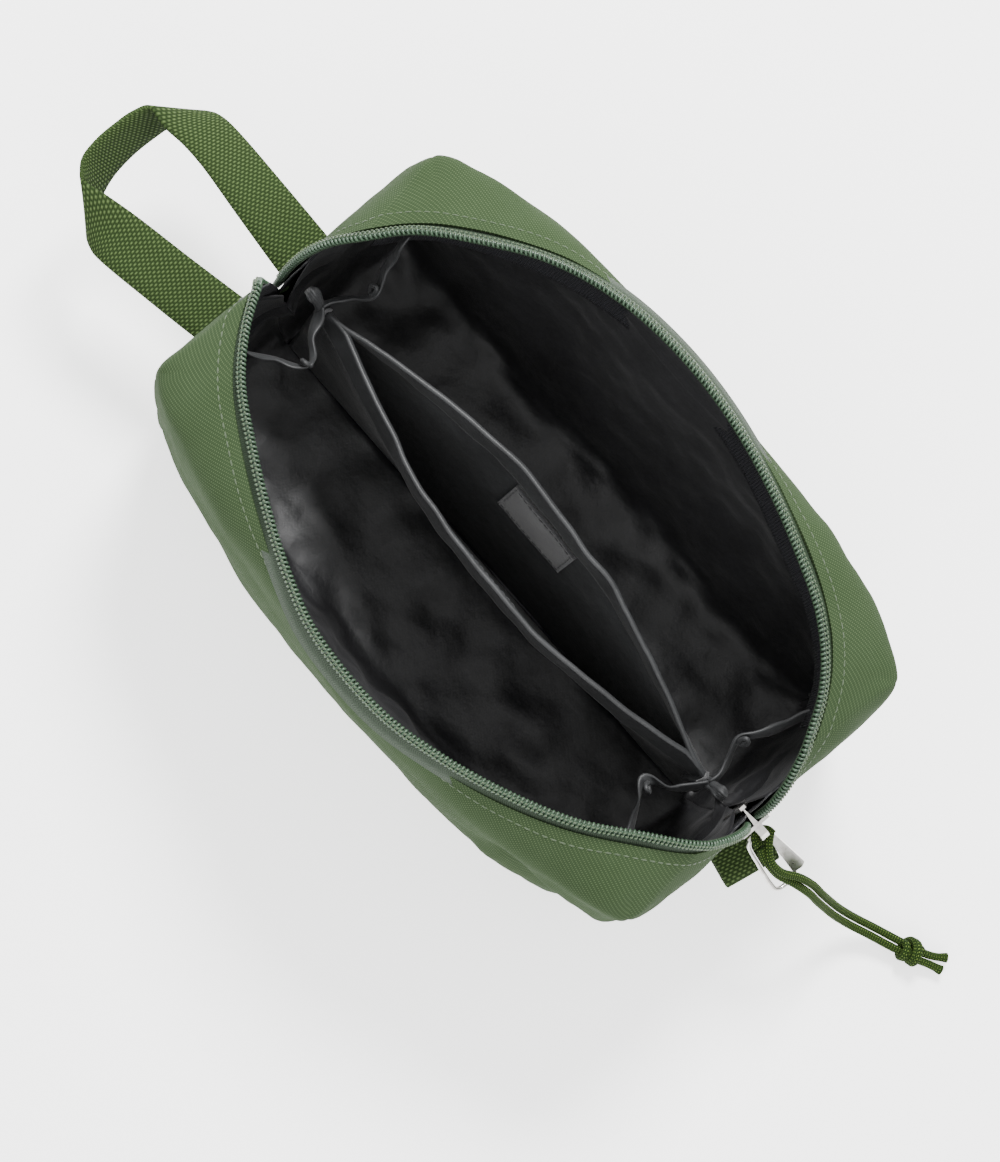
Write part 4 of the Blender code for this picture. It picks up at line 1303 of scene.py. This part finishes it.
def webbing(name, line, wide):
    """A band of webbing with rounded, slightly scalloped selvedges; wide is the way across it."""
    out = unit(np.cross(tangents(line), wide))
    half, thick = WEBBING_WIDE / 2, WEBBING_THICK / 2
    section = [(-half + 0.35, thick), (-half / 2, thick * 1.05), (0, thick * 1.05), (half / 2, thick * 1.05),
               (half - 0.35, thick), (half, thick * 0.45), (half, -thick * 0.45)]
    section += [(-a, -b) for a, b in section]
    points, cloth = [], []
    for p, w, o, s in zip(line, wide, out, lengths(line)):
        swell = 1.0 + 0.006 * math.sin(2 * math.pi * s / 1.05)
        for a, b in section:
            points.append(p + w * a * swell + o * b)
            cloth.append((s, a))
    faces = grid_faces(len(line), len(section), closed=True) + end_caps(0, len(line), len(section))
    obj = mesh_object(name, points, faces, FINISH["webbing"], cloth)
    obj.data.set_sharp_from_angle(angle=math.radians(60))
    edit_mesh(obj, face_outwards)
    return declare(obj)


def make_handle():
    edges = spline([(*inner, *outer) for inner, outer in HANDLE], 0.6)
    inner, outer = edges[:, :3], edges[:, 3:]
    handle = webbing("handle_band", (inner + outer) / 2, (outer - inner) / WEBBING_WIDE)
    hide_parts("handle_webbing")
    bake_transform(handle)


def make_end_tab():
    """A folded loop of webbing under the slider, its two layers sewn into the end seam."""
    y = -4.0
    line = spline([(113.6, y, 47.2), (116, y - 0.4, 47.4), (122, y - 1.6, 47.3), (127.4, y - 2.8, 46.9),
                   (129.2, y - 3.2, 45.9), (127.4, y - 2.8, 44.9), (122, y - 1.6, 44.6), (116, y - 0.4, 44.7),
                   (113.6, y, 44.8)], 0.45)
    tab = webbing("end_tab_loop", line, np.tile([0.21, 0.978, 0.0], (len(line), 1)))
    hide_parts("end_tab")
    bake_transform(tab)


# ---------------------------------------------------------------- cord

CORD_RADIUS = 1.38
BIGHT_CENTRE, BIGHT_RADIUS = (122.4, 0.0, 60.9), 3.0
# The line between the two strands, from the bail down to the knot
CORD_CENTRE = [
    (123.0, 0.0, 60.9), (125.8, -2.3, 60.4), (129.5, -3.5, 58.7), (134.5, -2.8, 55.4), (140.5, 0.8, 51.0),
    (146.5, 3.7, 44.2), (151.5, 5.6, 35.8), (156.0, 7.8, 26.6), (161.0, 10.2, 17.8), (167.5, 13.4, 10.4),
    (175.5, 17.2, 6.0), (184.0, 20.6, 4.8), (189.5, 23.0, 4.7),
]
# How far each strand lies from that line, across and upwards
CORD_APART = [(3.0, 0), (1.5, 0.8), (0.4, 1.32), (0.4, 1.32), (1.1, 0.9), *[(1.42, 0)] * 7, (1.3, 0)]
KNOT = Vector((188.8, 22.6, 4.9))
KNOT_AXIS = Vector((0.92, 0.39, -0.05)).normalized()


def cut_end(way, word):
    """The end of a strand past the knot, flared where it is cut."""
    across = np.array([-0.39, 0.92, 0.0]) * way
    places = [((188.0, 22.3, 4.8), 1.3), ((192.5, 24.2, 4.2), 1.42), ((196.0, 26.2, 3.2), 1.5),
              ((200.0, 28.8, 2.4), 2.3)]
    route = spline([np.array(place) + across * apart for place, apart in places], 0.4)
    share = np.linspace(0, 1, len(route))
    radii = CORD_RADIUS * (1.0 + 0.25 * np.clip((share - 0.82) / 0.18, 0, 1))
    end = tube("cord_cut_end_" + word, route, radii, FINISH["cord"], sides=14)
    return declare(end, "cord_end_" + word, "pull")


def make_bight():
    """The half turn that the cord makes round the bail."""
    x, _, z = BIGHT_CENTRE
    angles = [math.pi / 2 + math.pi * k / 24 for k in range(25)]
    turn = [(x + BIGHT_RADIUS * math.cos(angle), BIGHT_RADIUS * math.sin(angle), z) for angle in angles]
    turn = [(x + 0.8, BIGHT_RADIUS, z), *turn, (x + 0.8, -BIGHT_RADIUS, z)]
    bight = tube("cord_bight", np.array(turn), CORD_RADIUS, FINISH["cord"], sides=14)
    return declare(bight, "pull_cord_bight", "slider")


def make_cord():
    ends = [cut_end(1, "a"), cut_end(-1, "b")]
    bight, knot = make_bight(), make_knot()
    for way, word, with_pieces in ((1, "upper", [ends[0], knot, bight]), (-1, "lower", [ends[1]])):
        points = [(x - way * apart * 0.3, y + way * apart, z + way * lift)
                  for (x, y, z), (apart, lift) in zip(CORD_CENTRE, CORD_APART)]
        path = spline(points, 0.6)
        strand = tube("cord_strand_" + word, path, CORD_RADIUS, FINISH["cord"], sides=14)
        declare(strand, "pull_cord_" + word)
        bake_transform(strand)


KNOT_STEPS, KNOT_TURNS = 90, 1.75


def make_knot():
    """An overhand knot in the doubled cord: its turns go round the two strands and tuck under themselves."""
    one = KNOT_AXIS.orthogonal().normalized()
    other = KNOT_AXIS.cross(one)
    pieces = []
    for k, first in enumerate((0.0, 1.15)):
        line = []
        for step in range(KNOT_STEPS + 1):
            share = step / KNOT_STEPS
            angle = 2 * math.pi * (first + KNOT_TURNS * share)
            ring = 1.5 + 2.0 * math.sin(math.pi * share) ** 0.35
            along = (share - 0.5) * 5.6 + (k - 0.5) * 1.6 + 1.1 * math.sin(angle + 0.6)
            p = KNOT + KNOT_AXIS * along + (one * math.cos(angle) + other * math.sin(angle)) * ring
            line.append((p.x, p.y, max(p.z, 1.5)))
        pieces.append(tube(f"knot_turn_{k}", np.array(line), 1.3, FINISH["cord"], sides=12))
    return declare(joined("cord_overhand_knot", pieces), "cord_knot", "pull")


# ---------------------------------------------------------------- slider, ring and stop


RING_PIVOT = np.array([119.7, 0.0, 57.6])
RING_SLOPE = math.radians(32.0)
RING_CORNERS = [(0.6, 3.6), (0.6, -4.6), (11.0, -5.5), (21.6, -5.7), (23.4, -3.8), (23.6, 0.0), (22.6, 3.4),
                (12.0, 3.9)]  # along and across, from the hinge
PLATE_FROM, PLATE_TO = 2.6, 21.4


def ring_point(along, across, off):
    """A point of the pull ring: along and across its plane from the hinge, and off its upper face."""
    c, s = math.cos(RING_SLOPE), math.sin(RING_SLOPE)
    return RING_PIVOT + np.array([along * c + off * s, across, off * c - along * s])


def make_ring():
    """A bent wire frame whose +Y side is pressed out into a wide, turned-up plate."""
    loop = []
    for k, corner in enumerate(RING_CORNERS):
        for other in (RING_CORNERS[k - 1], RING_CORNERS[(k + 1) % len(RING_CORNERS)]):
            loop.append([b + (a - b) * 0.86 for a, b in zip(corner, other)])
    loop = [ring_point(u, v, 0.0) for u, v in loop]
    path = resampled(spline(loop + loop[:1], 0.5), 0.5)
    wire = tube("ring_wire", path, 0.82, FINISH["nickel"], sides=12, first=(0, 1, 0))
    points = []
    for t in np.linspace(0, 1, 25):
        inner, outer = 2.0 + 0.5 * t, 4.1 + 3.3 * t
        for t_side in np.linspace(0, 1, 9):
            end_round = 1.6 * max(0.0, t_side - 0.55) ** 2 / 0.2
            along = PLATE_FROM + (PLATE_TO - end_round - PLATE_FROM) * t
            turned_up = 0.5 + 1.5 * t_side**1.5 * (0.4 + 0.6 * t)
            points.append(ring_point(along, inner + (outer - inner) * t_side, turned_up))
    plate = layer("ring_plate", points, 9, FINISH["nickel"], [(p[0], p[1]) for p in points], 1.1)
    plate.data.set_sharp_from_angle(angle=math.radians(50))
    declare(joined("pull_ring_pressed", [wire, plate]), "pull_ring", "pull")


def break_edges(obj):
    edges = obj.modifiers.new("edges", "BEVEL")
    edges.width = 0.3 * MM
    edges.segments = 3
    edges.limit_method = "ANGLE"
    edges.angle_limit = math.radians(35)
    edges.harden_normals = True


def make_slider():
    """The CAD slider with the shoulders of its inner plate, which hide in the pouch, filed to a point."""
    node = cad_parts["slider_body"]
    data = node.data.copy()
    data.transform(node.matrix_world)
    data.materials.clear()
    data.materials.append(FINISH["nickel"])
    slider = placed("slider_plated", data)
    co = coordinates(slider)
    inner = co[:, 0] < 113.6
    up = np.clip((co[:, 2] - 56.0) / 11.0, 0.0, 1.0)
    co[inner, 1] *= (1 - 0.78 * up)[inner]
    put_coordinates(slider, co)
    break_edges(slider)
    declare(slider, "slider_body", "slider")


def finish_end_stop():
    """The stop keeps its CAD shape, with edges broken and a plated finish."""
    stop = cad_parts["zip_end_stop"]
    stop.data.materials.clear()
    stop.data.materials.append(FINISH["nickel"])
    break_edges(stop)


# ---------------------------------------------------------------- make everything

# The materials, in the order in which they are made
FINISH = {
    "fabric": woven_fabric(),
    "lining": dark_cloth("lining_nylon", (0.006, 0.006, 0.007), (0.017, 0.017, 0.019), (0.38, 0.55)),
    "grosgrain": grosgrain(),
    "webbing": ribbed_webbing(),
    "tape": tape_cloth(),
    "coil": coil_nylon(),
    "thread": sewing_thread("green_thread", (0.035, 0.065, 0.024), (0.13, 0.20, 0.09)),
    "seam_thread": sewing_thread("seam_thread", (0.03, 0.06, 0.02), (0.085, 0.14, 0.055)),
    "dark_thread": sewing_thread("dark_thread", (0.01, 0.01, 0.011), (0.05, 0.05, 0.053)),
    "cord": braided_cord(),
    "nickel": nickel_plate(),
    "divider": dark_cloth("divider_cloth", (0.014, 0.015, 0.016), (0.034, 0.036, 0.038), (0.42, 0.62)),
    "hook": patch_pile("hook_pile", True),
    "loop": patch_pile("loop_pile", False),
}


add_camera()
add_studio()
make_cord()
make_ring()
make_slider()
lining_surface = bag_surface()
fabric_surface = bag_surface()
make_outer_fabric(fabric_surface)
bpy.context.view_layer.update()
fabric_tree = BVHTree.FromObject(fabric_surface, bpy.context.evaluated_depsgraph_get())
for side, word in SIDES:
    make_zip(side, word, fabric_tree)
    make_facing(side, word)
    make_leaf(side, word)
make_patch(-1, "hook", "hook_patch")
make_patch(1, "loop", "loop_patch")
bpy.data.objects.remove(fabric_surface)
make_lining(lining_surface)
bpy.data.objects.remove(lining_surface)
make_bindings()
make_gathers()
make_handle()
make_end_tab()
finish_end_stop()
